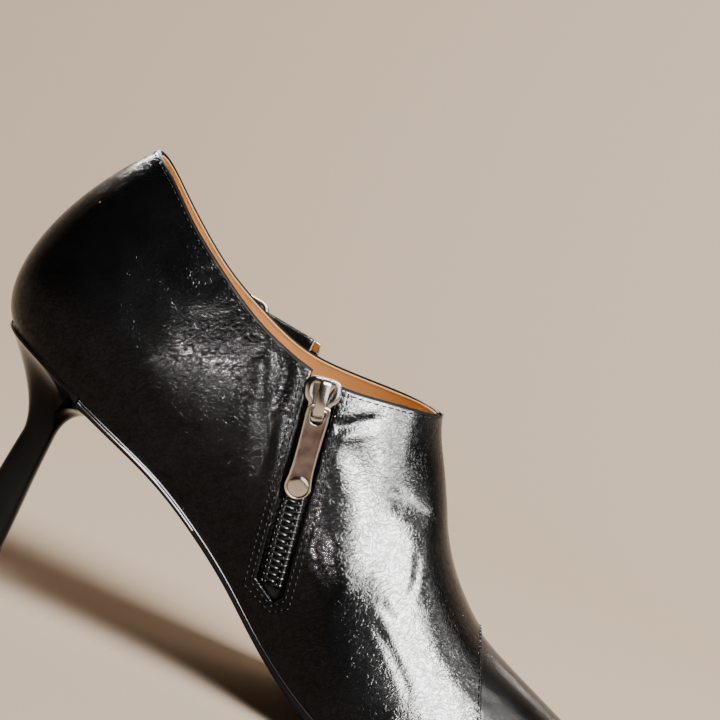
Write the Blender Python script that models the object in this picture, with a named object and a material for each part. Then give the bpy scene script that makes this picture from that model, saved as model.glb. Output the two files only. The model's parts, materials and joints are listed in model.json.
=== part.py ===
"""Stiletto ankle bootie, left shoe, women's EU 37, as separate solids.

X runs from heel to toe, Y from the inner (medial, minus) side to the outer side, Z up from the floor.
The origin is the middle of the heel tip's floor face. Tables hold millimetres; MM makes them metres.
"""

import math
from collections import namedtuple

import bmesh
import bpy
import numpy as np
from mathutils import Matrix, Vector
from mathutils.bvhtree import BVHTree

MM = 0.001
GAP = 0.3  # between pieces that touch

# Shoe
WALL = 1.5  # toe piece and lining
QUARTER_STEP = 0.9  # the quarter's own leather, lapped over the toe piece
SKIRT = 1.0  # upright stretch of the wall above the sole
SOLE_WAIST = 2.4
SOLE_TREAD = 3.0
SOLE_LEDGE = 0.5  # the sole stands proud of the upper
INSOLE_THICK = 2.0
INSOLE_ROOM = 0.9  # between its outline and the wall's at the feather line
TREAD_START, TREAD_END = 129.0, 151.0  # the flat that meets the floor
SOLE_REAR = 12.0  # the sole butts on the heel's seat block here
MEDIAL, LATERAL = -1, 1

# Height of the sole's top along the shoe, at every Y
SoleLine = namedtuple("SoleLine", "x z")
SOLE_LINE = [
    SoleLine(-24, 72.3),
    SoleLine(-8, 68.2),
    SoleLine(9, 62.4),
    SoleLine(25, 56.6),
    SoleLine(42, 49.7),
    SoleLine(57, 41.3),
    SoleLine(73, 30.6),
    SoleLine(86, 21.0),
    SoleLine(98, 13.7),
    SoleLine(112, 7.4),
]
TOE_SPRING = 6.0  # rise of the sole at the toe tip

# Upper. A section is a rib from the feather line (where it meets the sole) to the ridge or past the collar.
# out, up, drop: the rib's two inner control points. Headings: -90 back, 0 to the side, 90 to the toe.
Section = namedtuple(
    "Section",
    "feather_x feather_medial feather_lateral heading belly_out belly_up "
    "top_x top_mid top_half top_z crown_heading crown_out crown_drop",
)
SECTIONS = [
    Section(-17.2, 0.0, 0.0, -90, 8.5, 9.0, 3.4, 0, 0.0, 136.0, -90, 24.5, 27.0),
    Section(-13.8, 12.0, 12.0, -58, 8.0, 10.0, 4.6, 0, 8.0, 135.0, -62, 21.0, 28.0),
    Section(-5.0, 19.8, 19.8, -32, 7.0, 12.0, 8.5, 0, 14.5, 132.0, -38, 16.0, 29.0),
    Section(8.0, 24.0, 24.0, -12, 6.0, 14.0, 15.5, 0, 19.5, 128.5, -15, 10.5, 29.0),
    Section(25.0, 24.6, 25.2, 0, 6.0, 17.0, 28.0, 0, 23.2, 125.0, 0, 6.0, 27.0),
    Section(48.0, 21.6, 25.6, 0, 8.0, 20.0, 48.0, 0, 25.0, 121.5, 0, 3.5, 26.0),
    Section(70.0, 20.4, 27.0, 0, 9.0, 24.0, 70.0, 0, 24.0, 120.0, 0, 4.5, 28.0),
    Section(86.0, 23.0, 30.2, 0, 8.5, 26.0, 86.0, 0, 19.5, 119.5, 0, 7.5, 28.0),
    Section(95.5, 26.2, 33.0, 0, 7.5, 26.0, 96.0, 0, 13.5, 119.0, 0, 10.0, 25.0),
    Section(102.0, 29.0, 35.0, 0, 6.8, 24.0, 101.8, 0, 6.5, 117.0, 0, 12.5, 19.0),
    Section(106.0, 30.6, 36.2, 0, 6.4, 22.5, 105.2, 0, 1.0, 109.5, 0, 13.5, 10.0),
    Section(110.0, 32.2, 37.2, 0, 6.0, 21.0, 107.7, 0, 0.0, 99.1, 0, 13.0, 0.0),
    Section(120.0, 35.2, 38.9, 3, 5.4, 17.0, 115.6, -1, 0.0, 83.4, 0, 15.0, 0.0),
    Section(132.0, 36.8, 39.2, 0, 4.8, 14.0, 125.4, -2.4, 0.0, 65.6, 0, 17.5, 0.0),
    Section(146.0, 36.2, 37.4, 5, 4.4, 12.0, 135.6, -3.4, 0.0, 53.5, 0, 19.0, 0.0),
    Section(160.0, 33.2, 33.4, 12, 4.0, 10.5, 145.6, -4.1, 0.0, 45.6, 0, 20.0, 0.0),
    Section(176.0, 28.2, 26.4, 18, 3.6, 9.0, 161.0, -4.7, 0.0, 38.6, 0, 18.0, 0.0),
    Section(191.0, 22.6, 18.4, 23, 3.3, 8.0, 178.0, -5, 0.0, 32.0, 0, 14.8, 0.0),
    Section(203.0, 17.8, 11.4, 28, 3.1, 7.4, 193.0, -5, 0.0, 25.8, 0, 11.5, 0.0),
    Section(211.5, 13.8, 5.4, 38, 3.0, 7.0, 203.0, -5, 0.0, 21.2, 14, 9.0, 0.9),
    Section(217.2, 10.2, 0.4, 60, 2.9, 6.6, 203.0, -5, 0.0, 21.2, 50, 9.6, 3.3),
    Section(219.5, 5.0, -5.0, 90, 2.8, 6.2, 203.0, -5, 0.0, 21.2, 90, 10.5, 4.8),
]
THROAT_ROW = 11  # the collar's front, where the ridge starts
SEAM_ROW = 15  # front edge of the quarter over the toe piece

Collar = namedtuple("Collar", "x medial_z lateral_z")
COLLAR = [
    Collar(-6.0, 138.0, 138.0),
    Collar(2.1, 133.6, 133.4),
    Collar(10.0, 128.9, 126.4),
    Collar(20.0, 121.2, 117.9),
    Collar(30.8, 114.0, 110.2),
    Collar(47.7, 104.3, 101.9),
    Collar(63.5, 98.6, 96.8),
    Collar(78.0, 96.4, 96.3),
    Collar(92.0, 97.7, 97.5),
    Collar(107.7, 99.1, 99.1),
]
RIBS = 44  # on each side
RINGS = 13

# Heel column, from the lift up to the waist
HeelRing = namedtuple("HeelRing", "z back front half_width")
HEEL_RINGS = [
    HeelRing(6.8, -6.2, 6.5, 6.2),
    HeelRing(16, -4.9, 6.9, 5.5),
    HeelRing(29, -3.5, 7.0, 4.9),
    HeelRing(42.5, -1.9, 7.4, 4.6),
]
HEEL_MID = 3.0
HEEL_SQUARE = 2.7  # 2 would make a round column
HEEL_FACETS = 12
# The flare from the waist to the seat: how its control points stand at the front, side and back
Flare = namedtuple("Flare", "angle rise inward lift")
FLARES = [
    Flare(0, 11.5, 15.0, 8.6),
    Flare(50, 11.0, 11.0, 1.0),
    Flare(90, 10.0, 9.5, -3.4),
    Flare(180, 8.5, 6.6, -7.6),
]
Lip = namedtuple("Lip", "x half")
LIP = [Lip(12, 24.2), Lip(14, 21.5), Lip(18, 16.5), Lip(24, 11.5), Lip(29, 6.0), Lip(30.5, 0.0)]
SEAT_EDGE = 1.0
LIP_EDGE = 0.5
LIFT_HEIGHT = 6.5
LIFT_EDGE = 0.25

# Zip: a slot in the medial wall, seen from the side, and what closes it
ZIP_TOP = (73.3, 97.2)
ZIP_BOTTOM = (84.4, 32.4)
SLOT_HALF = 4.4
SLOT_SKEW = 3.0  # its lower end is cut aslant
TAPE_HALF = 7.0
TAPE_THICK = 0.8
CHAIN_START, CHAIN_END = 14.0, 61.5  # along the zip
TOOTH_PITCH = 2.4
TOOTH_THICK = 0.8
TEETH_HEIGHT = 1.7
TEETH_EDGE = 3.2  # half the chain's width
TEETH_SPINE = 2.0  # the cord that holds the teeth runs from here to the edge
TOOTH_REACH = 0.7  # past the middle of the chain
TOOTH_SLOPE = 0.06

# Slider, its middle at a distance down the zip: half of the shield, and the side view of its bridge
SLIDER_AT = 6.8
ShieldEdge = namedtuple("ShieldEdge", "along half")
SHIELD = [
    ShieldEdge(-6.2, 3.2),
    ShieldEdge(-5.6, 4.6),
    ShieldEdge(-3.0, 5.2),
    ShieldEdge(0.5, 4.9),
    ShieldEdge(3.6, 3.9),
    ShieldEdge(6.2, 3.3),
]
SHIELD_LOW, SHIELD_HIGH = 0.5, 1.9
SHIELD_BEVEL = 0.35
Arch = namedtuple("Arch", "outer_along outer_rise inner_along inner_rise")
BRIDGE = [
    Arch(-5.6, 1.0, -4.4, 1.0),
    Arch(-5.2, 3.4, -4.2, 3.0),
    Arch(-3.8, 5.1, -3.2, 4.1),
    Arch(2.4, 5.1, 1.8, 4.1),
    Arch(4.6, 3.9, 3.6, 3.4),
    Arch(5.0, 1.0, 3.9, 1.0),
]
BRIDGE_HALF = 1.3

# Pull: a tab hung from the bridge
HINGE_AT = 2.4  # below the slider's middle
HINGE_OUT = 2.8
PULL_LENGTH = 27.0
PULL_HALF = 3.3
PULL_END = 3.9  # radius of its free end
PULL_THICK = 0.9
PULL_BEVEL = 0.2
PULL_HEAD = 0.6  # metal behind the hinge line
PULL_REST = 1.2  # how far its end hangs off the leather
EYE_LENGTH = 4.6
EYE_HALF = 1.8
EYE_CORNER = 0.8

# Strap on the lateral side, seen from that side
STRAP_FROM, STRAP_TO = 2.0, 64.4
STRAP_WIDTH = 11.4
STRAP_THICK = 1.8
STRAP_SLOPE = -0.10
STRAP_MID = (41.0, 96.6)
BUCKLE_LENGTH = 15.0
BUCKLE_WIDTH = 15.4
BUCKLE_BAR = 1.8
BUCKLE_CORNER = 2.0
# Prong: how it lies above the buckle's middle plane and tapers, from the rear bar to the front bar
PRONG = 1.3
PRONG_SAG = 0.2
PRONG_TAPER = (1.3, 1.1, 1.0, 0.9)
STRAP_OFF = 0.5  # from the wall
TIP_LENGTH = 2.9


def natural_spline(knots, values, at):
    """Values at the places given, on the smooth curve with free ends through the knots."""
    knots, values, at = (np.asarray(each, float) for each in (knots, values, at))
    step = np.diff(knots)
    size = len(knots)
    matrix = np.eye(size)
    right = np.zeros(size)
    for i in range(1, size - 1):
        matrix[i, i - 1 : i + 2] = step[i - 1], 2 * (step[i - 1] + step[i]), step[i]
        right[i] = 6 * ((values[i + 1] - values[i]) / step[i] - (values[i] - values[i - 1]) / step[i - 1])
    bend = np.linalg.solve(matrix, right)
    i = np.clip(np.searchsorted(knots, at) - 1, 0, size - 2)
    a, b = (knots[i + 1] - at) / step[i], (at - knots[i]) / step[i]
    cubic = ((a**3 - a) * bend[i] + (b**3 - b) * bend[i + 1]) * step[i] ** 2 / 6
    return a * values[i] + b * values[i + 1] + cubic


def ring_spline(knots, values, at):
    """The same on a closed loop: three turns are laid end to end, and the middle one is read."""
    knots, values = np.asarray(knots, float), np.asarray(values, float)
    turn = knots[-1] - knots[0]
    long_knots = np.concatenate([knots[:-1] - turn, knots[:-1], knots + turn])
    long_values = np.concatenate([values[:-1], values[:-1], values])
    return natural_spline(long_knots, long_values, at)


def smooth_step(value, low, high):
    part = np.clip((np.asarray(value, float) - low) / (high - low), 0, 1)
    return part * part * (3 - 2 * part)


def sole_thickness(x):
    return SOLE_WAIST + (SOLE_TREAD - SOLE_WAIST) * smooth_step(x, 85, TREAD_START - 4)


def sole_height(x):
    """Where the upper stands: above the sole's top by the gap."""
    x = np.asarray(x, float)
    ground = SOLE_TREAD + GAP
    rows = list(SOLE_LINE) + [SoleLine(TREAD_START, ground), SoleLine(TREAD_START + 8, ground)]
    arch = natural_spline([row.x for row in rows], [row.z for row in rows], x)
    tip = SECTIONS[-1].feather_x
    spring = ground + TOE_SPRING * np.clip((x - TREAD_END) / (tip - TREAD_END), 0, None) ** 1.7
    return np.where(x < TREAD_START, arch, spring)


def row_places():
    """Distance round the shoe of each section, from the back to the toe tip."""
    places = [0.0]
    for last, row in zip(SECTIONS, SECTIONS[1:]):
        feather = math.hypot(row.feather_x - last.feather_x, row.feather_medial - last.feather_medial)
        top = math.dist((row.top_x, row.top_half, row.top_z), (last.top_x, last.top_half, last.top_z))
        places.append(places[-1] + 0.7 * feather + 0.3 * top)
    return places


PLACES = row_places()
AROUND = 2 * PLACES[-1]


def control_points(row, side):
    """The four control points of a section's rib."""
    feather = row.feather_medial if side == MEDIAL else row.feather_lateral
    turn, crown_turn = math.radians(row.heading), math.radians(row.crown_heading)
    base = np.array([row.feather_x, side * feather, float(sole_height(row.feather_x)) + SKIRT])
    top = np.array([row.top_x, row.top_mid + side * row.top_half, row.top_z])
    out = np.array([math.sin(turn), side * math.cos(turn), 0])
    crown = np.array([math.sin(crown_turn), side * math.cos(crown_turn), 0])
    belly = base + out * row.belly_out + [0, 0, row.belly_up]
    shoulder = top + crown * row.crown_out - [0, 0, row.crown_drop]
    return base, belly, shoulder, top


def rib_controls(place):
    """Control points of the rib at a distance round the shoe, medial side first, then back by the lateral."""
    medial = [control_points(row, MEDIAL) for row in SECTIONS]
    lateral = [control_points(row, LATERAL) for row in SECTIONS]
    loop = medial + lateral[-2::-1]
    knots = PLACES + [AROUND - each for each in PLACES[-2::-1]]
    points = np.zeros((4, 3))
    for k in range(4):
        for axis in range(3):
            points[k, axis] = ring_spline(knots, [each[k][axis] for each in loop], [place])[0]
    side = MEDIAL if place <= PLACES[-1] else LATERAL
    near = min(place, AROUND - place)
    middle = natural_spline(PLACES, [row.top_mid for row in SECTIONS], [near])[0]
    half = 0.0
    if near < PLACES[THROAT_ROW]:
        rows = SECTIONS[: THROAT_ROW + 1]
        half = natural_spline(PLACES[: THROAT_ROW + 1], [row.top_half for row in rows], [near])[0]
    points[3][1] = middle + side * max(half, 0.0)
    return points


def bezier(points, t):
    t = np.asarray(t, float)[:, None]
    a, b, c, d = points
    return (1 - t) ** 3 * a + 3 * (1 - t) ** 2 * t * b + 3 * (1 - t) * t * t * c + t**3 * d


def collar_height(x, side):
    heights = [row.medial_z if side == MEDIAL else row.lateral_z for row in COLLAR]
    return natural_spline([row.x for row in COLLAR], heights, x)


def rib(place):
    """Points of one rib, from the feather line up to the ridge or the collar's edge."""
    points = rib_controls(place)
    near = min(place, AROUND - place)
    end = 1.0
    if near < PLACES[THROAT_ROW] - 1e-6:
        side = MEDIAL if place <= PLACES[-1] else LATERAL
        t = np.linspace(0, 1, 161)
        line = bezier(points, t)
        over = line[:, 2] - collar_height(line[:, 0], side)
        first = int(np.argmax(over > 0)) if (over > 0).any() else len(t) - 1
        share = -over[first - 1] / (over[first] - over[first - 1])
        end = t[first - 1] + share * (t[first] - t[first - 1])
    line = bezier(points, end * np.linspace(0, 1, RINGS))
    foot = line[0].copy()
    foot[2] = sole_height(foot[0])
    return np.vstack([foot, line])


def rib_places():
    """Where the ribs stand on one side: even within each stretch, and a close pair at the quarter's edge."""
    seam = PLACES[SEAM_ROW]
    throat = PLACES[THROAT_ROW]
    dense = PLACES[THROAT_ROW - 3]
    counts = {"rear": RIBS // 2 - 3, "nose": 8, "vamp": 8, "toe": RIBS // 2 - 10}
    rear = np.linspace(0, dense, counts["rear"], endpoint=False)
    nose = np.linspace(dense, throat, counts["nose"], endpoint=False)
    vamp = np.linspace(throat, seam - 0.15, counts["vamp"])
    toe = np.linspace(seam + 0.15, PLACES[-1], counts["toe"])
    return np.concatenate([rear, nose, vamp, toe])


def rib_loop():
    half = rib_places()
    return list(half) + [AROUND - each for each in half[-2:0:-1]]


def new_object(name, mesh, collection, material=None):
    made = bpy.data.objects.new(name, mesh)
    collection.objects.link(made)
    if material:
        mesh.materials.append(material)
    return made


def mesh_of(name, points, faces):
    """A mesh in metres from points in millimetres, with its seams welded and its faces out."""
    body = bmesh.new()
    verts = [body.verts.new(Vector(point) * MM) for point in points]
    for face in faces:
        body.faces.new([verts[i] for i in face])
    bmesh.ops.remove_doubles(body, verts=body.verts, dist=0.01 * MM)
    bmesh.ops.dissolve_degenerate(body, edges=body.edges, dist=0.001 * MM)
    bmesh.ops.recalc_face_normals(body, faces=body.faces)
    mesh = bpy.data.meshes.new(name)
    body.to_mesh(mesh)
    body.free()
    mesh.shade_smooth()
    mesh.set_sharp_from_angle(angle=math.radians(35))
    return mesh


def material(name, colour, roughness, metallic=0.0):
    made = bpy.data.materials.new(name)
    made.use_nodes = True
    shader = made.node_tree.nodes["Principled BSDF"]
    shader.inputs["Base Color"].default_value = (*colour, 1)
    shader.inputs["Roughness"].default_value = roughness
    shader.inputs["Metallic"].default_value = metallic
    return made


def grid_faces(count, rings, base=0, flip=False):
    """Quads of a closed loop of ribs."""
    faces = []
    for i in range(count):
        ahead = (i + 1) % count
        for j in range(rings - 1):
            quad = [base + i * rings + j, base + ahead * rings + j]
            quad += [base + ahead * rings + j + 1, base + i * rings + j + 1]
            faces.append(quad[::-1] if flip else quad)
    return faces


def upper_surface():
    """The wall's face as a grid of ribs, its outward normals, and how proud each rib's leather stands."""
    loop = rib_loop()
    grid = np.array([rib(place) for place in loop])
    count, rings = grid.shape[:2]
    mesh = mesh_of("guide", grid.reshape(-1, 3), grid_faces(count, rings))
    tree = {}
    for vert in mesh.vertices:
        tree[tuple(np.round(np.array(vert.co) / MM, 2))] = np.array(vert.normal)
    places = np.array([list(key) for key in tree])
    known = np.array(list(tree.values()))
    flat = grid.reshape(-1, 3)
    nearest = [int(np.argmin(((places - point) ** 2).sum(axis=1))) for point in flat]
    normals = known[nearest].reshape(grid.shape)
    bpy.data.meshes.remove(mesh)
    if normals[0, rings // 2, 0] > 0:
        normals = -normals
    normals[:, 0, 2] = 0
    normals /= np.linalg.norm(normals, axis=2, keepdims=True)
    seam = PLACES[SEAM_ROW]
    proud = np.array([QUARTER_STEP if min(place, AROUND - place) < seam else 0.0 for place in loop])
    return grid, normals, proud, np.array(loop)


def upper_mesh():
    """The hollow wall: outer and inner faces, joined round the collar and along the feather line."""
    grid, normals, proud, loop = upper_surface()
    count, rings = grid.shape[:2]
    outer = grid + normals * proud[:, None, None]
    inner = grid - normals * WALL
    inner[:, 0, 2] = sole_height(inner[:, 0, 0])
    outer[:, 0, 2] = sole_height(outer[:, 0, 0])
    size = count * rings
    points = np.vstack([outer.reshape(-1, 3), inner.reshape(-1, 3)])
    faces = grid_faces(count, rings) + grid_faces(count, rings, size, flip=True)
    throat = PLACES[THROAT_ROW] + 1e-6
    open_ribs = [i for i in range(count) if min(loop[i], AROUND - loop[i]) <= throat]
    for i in range(count):
        ahead = (i + 1) % count
        faces.append([i * rings, size + i * rings, size + ahead * rings, ahead * rings])
        if i in open_ribs and ahead in open_ribs:
            here, there = i * rings + rings - 1, ahead * rings + rings - 1
            faces.append([here, there, size + there, size + here])
    return mesh_of("upper", points, faces)


def feather_outline(outset, start=None):
    """The feather line from above, moved out, as (x, y) from the back or from start to the tip, by side."""
    near = np.linspace(0, PLACES[-1], 70)
    sides = []
    for side in (MEDIAL, LATERAL):
        places = near if side == MEDIAL else AROUND - near
        line = np.array([rib_controls(place)[0][:2] for place in places])
        along = np.gradient(line, axis=0)
        along[0], along[-1] = (0, side), (0, -side)
        out = np.stack([-along[:, 1], along[:, 0]], axis=1) * side
        moved = line + out / np.linalg.norm(out, axis=1, keepdims=True) * outset
        if start is not None:
            first = int(np.argmax(line[:, 0] > start))
            share = (start - moved[first - 1, 0]) / (moved[first, 0] - moved[first - 1, 0])
            cut_end = moved[first - 1] + share * (moved[first] - moved[first - 1])
            moved = np.vstack([cut_end, moved[first:]])
        sides.append(moved)
    return sides


def plate_mesh(name, outlines, levels):
    """A plate between the two sides' outlines. Each level moves the outline in and gives its height."""
    medial, lateral = outlines
    closed = np.allclose(medial[0], lateral[0])
    loop = np.vstack([medial, lateral[-2 : 0 if closed else None : -1]])
    count = len(loop)
    along = np.roll(loop, -1, axis=0) - np.roll(loop, 1, axis=0)
    inward = np.stack([-along[:, 1], along[:, 0]], axis=1)
    inward /= np.linalg.norm(inward, axis=1, keepdims=True)
    points, faces = [], []
    for inset, height in levels:
        moved = loop + inward * inset
        points.extend(np.column_stack([moved, height(moved[:, 0])]))
    for k in range(len(levels) - 1):
        for i in range(count):
            ahead = (i + 1) % count
            faces.append([k * count + i, k * count + ahead, (k + 1) * count + ahead, (k + 1) * count + i])
    last = count if closed else count - 1
    for base in (0, (len(levels) - 1) * count):
        for i in range(count // 2):
            corners = [i, i + 1, (last - i - 1) % count, (last - i) % count]
            faces.append([base + corner for corner in dict.fromkeys(corners)])
    return mesh_of(name, points, faces)


def outsole_mesh(name="outsole", spare=0.0):
    """The sole. With spare it is the cutter that seats it on the heel's lip."""
    top = lambda x: sole_height(x) - GAP + spare
    bottom = lambda x: sole_height(x) - GAP - sole_thickness(x) - spare
    outlines = feather_outline(SOLE_LEDGE + QUARTER_STEP + spare, SOLE_REAR - spare)
    levels = [(0.5, top), (0.0, lambda x: top(x) - 0.5), (0.2, lambda x: bottom(x) + 0.7), (1.1, bottom)]
    if spare:
        levels = [(0.0, lambda x: top(x) + 3.0), (0.0, bottom)]
    return plate_mesh(name, outlines, levels)


def insole_mesh():
    """The sock board, inside the wall."""
    outlines = feather_outline(-(WALL + INSOLE_ROOM))
    bottom = sole_height
    top = lambda x: sole_height(x) + INSOLE_THICK
    return plate_mesh("insole", outlines, [(0.5, top), (0.0, lambda x: top(x) - 0.5), (0.0, bottom)])


def seat_outline(angles):
    """Edge of the heel's top at each angle round the column, 0 ahead and 180 behind."""
    medial = feather_outline(QUARTER_STEP)[0]
    seat = medial[medial[:, 0] < LIP[0].x]
    lip_x = np.linspace(LIP[0].x, LIP[-1].x, 30)
    share = (lip_x - LIP[0].x) / (LIP[-1].x - LIP[0].x)
    half = np.interp(lip_x, [row.x for row in LIP], [row.half for row in LIP])
    round_end = np.sqrt(np.clip(1 - share**2.2, 0, 1)) * LIP[0].half
    lip = np.column_stack([lip_x, -(0.75 * half + 0.25 * round_end)])
    edge = np.vstack([seat, lip])
    turn = np.degrees(np.arctan2(-edge[:, 1], edge[:, 0] - HEEL_MID))
    order = np.argsort(turn)
    x = np.interp(angles, turn[order], edge[order, 0])
    y = np.interp(angles, turn[order], edge[order, 1])
    return x, y


def squared_ring(turn, back, front, half_width):
    """A rounded square round the column, as X and Y at each angle."""
    square = (np.abs(np.cos(turn)) ** HEEL_SQUARE + np.abs(np.sin(turn)) ** HEEL_SQUARE) ** (-1 / HEEL_SQUARE)
    x = (back + front) / 2 + (front - back) / 2 * square * np.cos(turn)
    return x, half_width * square * np.sin(turn)


def heel_mesh():
    """Rings round the column up to the waist, then a flare out to the seat and lip, closed by the seat."""
    half_turn = np.linspace(0, 180, 2 * HEEL_FACETS + 1)
    turn = np.radians(half_turn)
    heights = [row.z for row in HEEL_RINGS]
    column = []
    for z in np.linspace(heights[0], heights[-1], 6):
        back, front, half = (
            natural_spline(heights, [getattr(row, field) for row in HEEL_RINGS], [z])[0]
            for field in ("back", "front", "half_width")
        )
        x, y = squared_ring(turn, back, front, half)
        column.append(np.column_stack([x, -y, np.full(len(turn), z)]))
    start = column[-1]
    x, y = seat_outline(half_turn)
    on_lip = smooth_step(x, 8, 15)
    top = sole_height(x) - GAP
    under_seat = top - SEAT_EDGE
    under_sole = top - sole_thickness(x) - GAP - LIP_EDGE
    edge = np.column_stack([x, y, under_seat + (under_sole - under_seat) * on_lip])
    rise, inward, lift = (
        np.interp(half_turn, [row.angle for row in FLARES], [getattr(row, field) for row in FLARES])
        for field in ("rise", "inward", "lift")
    )
    out = edge[:, :2] - [HEEL_MID, 0]
    out /= np.linalg.norm(out, axis=1, keepdims=True)
    first = start + np.column_stack([np.zeros((len(turn), 2)), rise])
    second = edge + np.column_stack([-out * inward[:, None], lift])
    flare = [
        np.array([bezier((start[i], first[i], second[i], edge[i]), [t])[0] for i in range(len(turn))])
        for t in np.linspace(0, 1, HEEL_FACETS + 1)[1:]
    ]
    rim = np.column_stack([x, y, top])
    halves = column + flare + [rim]
    count = 2 * (len(turn) - 1)
    points, faces = [], []
    for half in halves:
        half[[0, -1], 1] = 0.0
        other = half[-2:0:-1] * [1, -1, 1]
        points.extend(np.vstack([half, other]))
    for k in range(len(halves) - 1):
        for i in range(count):
            ahead = (i + 1) % count
            faces.append([k * count + i, k * count + ahead, (k + 1) * count + ahead, (k + 1) * count + i])
    faces.append(list(range(count)))
    base = (len(halves) - 1) * count
    for i in range(count // 2):
        corners = [base + i, base + i + 1, base + (count - i - 1) % count, base + (count - i) % count]
        faces.append(list(dict.fromkeys(corners)))
    return mesh_of("heel", points, faces)


def heel_tip_mesh():
    """The top lift: the column's lowest ring carried down to the floor, a little rounded at its foot."""
    row = HEEL_RINGS[0]
    count = 40
    turn = np.linspace(0, 2 * math.pi, count, endpoint=False)
    points, faces = [], []
    levels = [(0.0, 0.0), (LIFT_EDGE, 2 * LIFT_EDGE), (LIFT_EDGE, LIFT_HEIGHT)]
    for proud, z in levels:
        x, y = squared_ring(turn, row.back - proud, row.front + proud, row.half_width + proud)
        points.extend(np.column_stack([x, y, np.full(count, z)]))
    for k in range(len(levels) - 1):
        for i in range(count):
            ahead = (i + 1) % count
            faces.append([k * count + i, k * count + ahead, (k + 1) * count + ahead, (k + 1) * count + i])
    faces += [list(range(count)), list(range(2 * count, 3 * count))]
    return mesh_of("heel_tip", points, faces)


def cut(target, cutter, operation="DIFFERENCE"):
    boolean = target.modifiers.new(cutter.name, "BOOLEAN")
    boolean.operation = operation
    boolean.solver = "EXACT"
    boolean.object = cutter
    return boolean


class Wall:
    """Finds points on the upper's wall, seen from a side, before anything is cut from it."""

    def __init__(self, mesh):
        body = bmesh.new()
        body.from_mesh(mesh)
        self.tree = BVHTree.FromBMesh(body)
        body.free()

    def outside(self, x, z, side):
        hit = self.tree.ray_cast(Vector((x, side * 90, z)) * MM, Vector((0, -side, 0)))
        return np.array(hit[0]) / MM

    def inside(self, x, z, side):
        hit = self.tree.ray_cast(Vector((x, 0, z)) * MM, Vector((0, side, 0)))
        return np.array(hit[0]) / MM


def unit(vector):
    vector = np.asarray(vector, float)
    return vector / np.linalg.norm(vector)


def zip_point(along, across):
    """Place in the side view at a distance down the zip and across it, towards the toe."""
    start, end = np.array(ZIP_TOP), np.array(ZIP_BOTTOM)
    down = unit(end - start)
    return start + down * along + np.array([-down[1], down[0]]) * across


ZIP_LENGTH = math.dist(ZIP_TOP, ZIP_BOTTOM)


def slot_mesh():
    """Cutter of the zip's window through the medial wall."""
    top, low = -8.0, ZIP_LENGTH
    corners = [(top, -SLOT_HALF), (low - SLOT_SKEW, -SLOT_HALF), (low + 1, SLOT_HALF * 0.5)]
    corners += [(low - 2, SLOT_HALF), (top, SLOT_HALF)]
    points = [[x, y, z] for y in (-45, -12) for x, z in (zip_point(*corner) for corner in corners)]
    count = len(corners)
    faces = [list(range(count)), list(range(count, 2 * count))]
    faces += [[i, (i + 1) % count, count + (i + 1) % count, count + i] for i in range(count)]
    return mesh_of("zip_window", points, faces)


def zip_lines(wall):
    """The zip's line on the wall's inner face, and the wall's outward direction there, as functions."""
    places = np.linspace(3, ZIP_LENGTH + 3, 9)
    rows = {}
    for across in (-TAPE_HALF, 0, TAPE_HALF):
        spots = [wall.inside(*zip_point(along, across), MEDIAL) for along in places]
        rows[across] = np.polyfit(places, [spot[1] for spot in spots], 3)

    def inner(along, across):
        left, middle, right = (np.polyval(rows[each], along) for each in (-TAPE_HALF, 0, TAPE_HALF))
        share = across / TAPE_HALF
        y = middle + share * (right - left) / 2 + share**2 * ((right + left) / 2 - middle)
        x, z = zip_point(along, across)
        return np.array([x, y, z])

    def axes(along, across=0.0):
        down = unit(inner(along + 1, across) - inner(along - 1, across))
        over = unit(inner(along, across + 1) - inner(along, across - 1))
        out = unit(np.cross(down, over))
        if out[1] > 0:
            out = -out
        return down, unit(over - down * over.dot(down)), out

    return inner, axes


def strip_mesh(name, rings):
    """A bar through rings of four corners, closed at its ends."""
    points = np.array(rings).reshape(-1, 3)
    count = len(rings)
    faces = [[0, 1, 2, 3], [4 * count - 4, 4 * count - 3, 4 * count - 2, 4 * count - 1]]
    for k in range(count - 1):
        for i in range(4):
            ahead = (i + 1) % 4
            faces.append([4 * k + i, 4 * k + ahead, 4 * k + 4 + ahead, 4 * k + 4 + i])
    return mesh_of(name, points, faces)


def tape_mesh(inner, axes):
    """The tape behind the window, sewn to the wall's inner face."""
    along = np.linspace(1.5, ZIP_LENGTH + 3.5, 16)
    across = np.linspace(-TAPE_HALF, TAPE_HALF, 5)
    grid = np.array([[inner(a, c) - axes(a, c)[2] * GAP for c in across] for a in along])
    back = np.array([[inner(a, c) - axes(a, c)[2] * (GAP + TAPE_THICK) for c in across] for a in along])
    rows, columns = len(along), len(across)
    size = rows * columns
    faces = []
    for base in (0, size):
        for i in range(rows - 1):
            for j in range(columns - 1):
                k = base + i * columns + j
                faces.append([k, k + 1, k + columns + 1, k + columns])
    rim = [j for j in range(columns)] + [i * columns + columns - 1 for i in range(1, rows)]
    rim += [size - 1 - j for j in range(1, columns)] + [i * columns for i in range(rows - 2, 0, -1)]
    for here, there in zip(rim, rim[1:] + rim[:1]):
        faces.append([here, there, size + there, size + here])
    return mesh_of("zip_tape", np.vstack([grid.reshape(-1, 3), back.reshape(-1, 3)]), faces)


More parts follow.
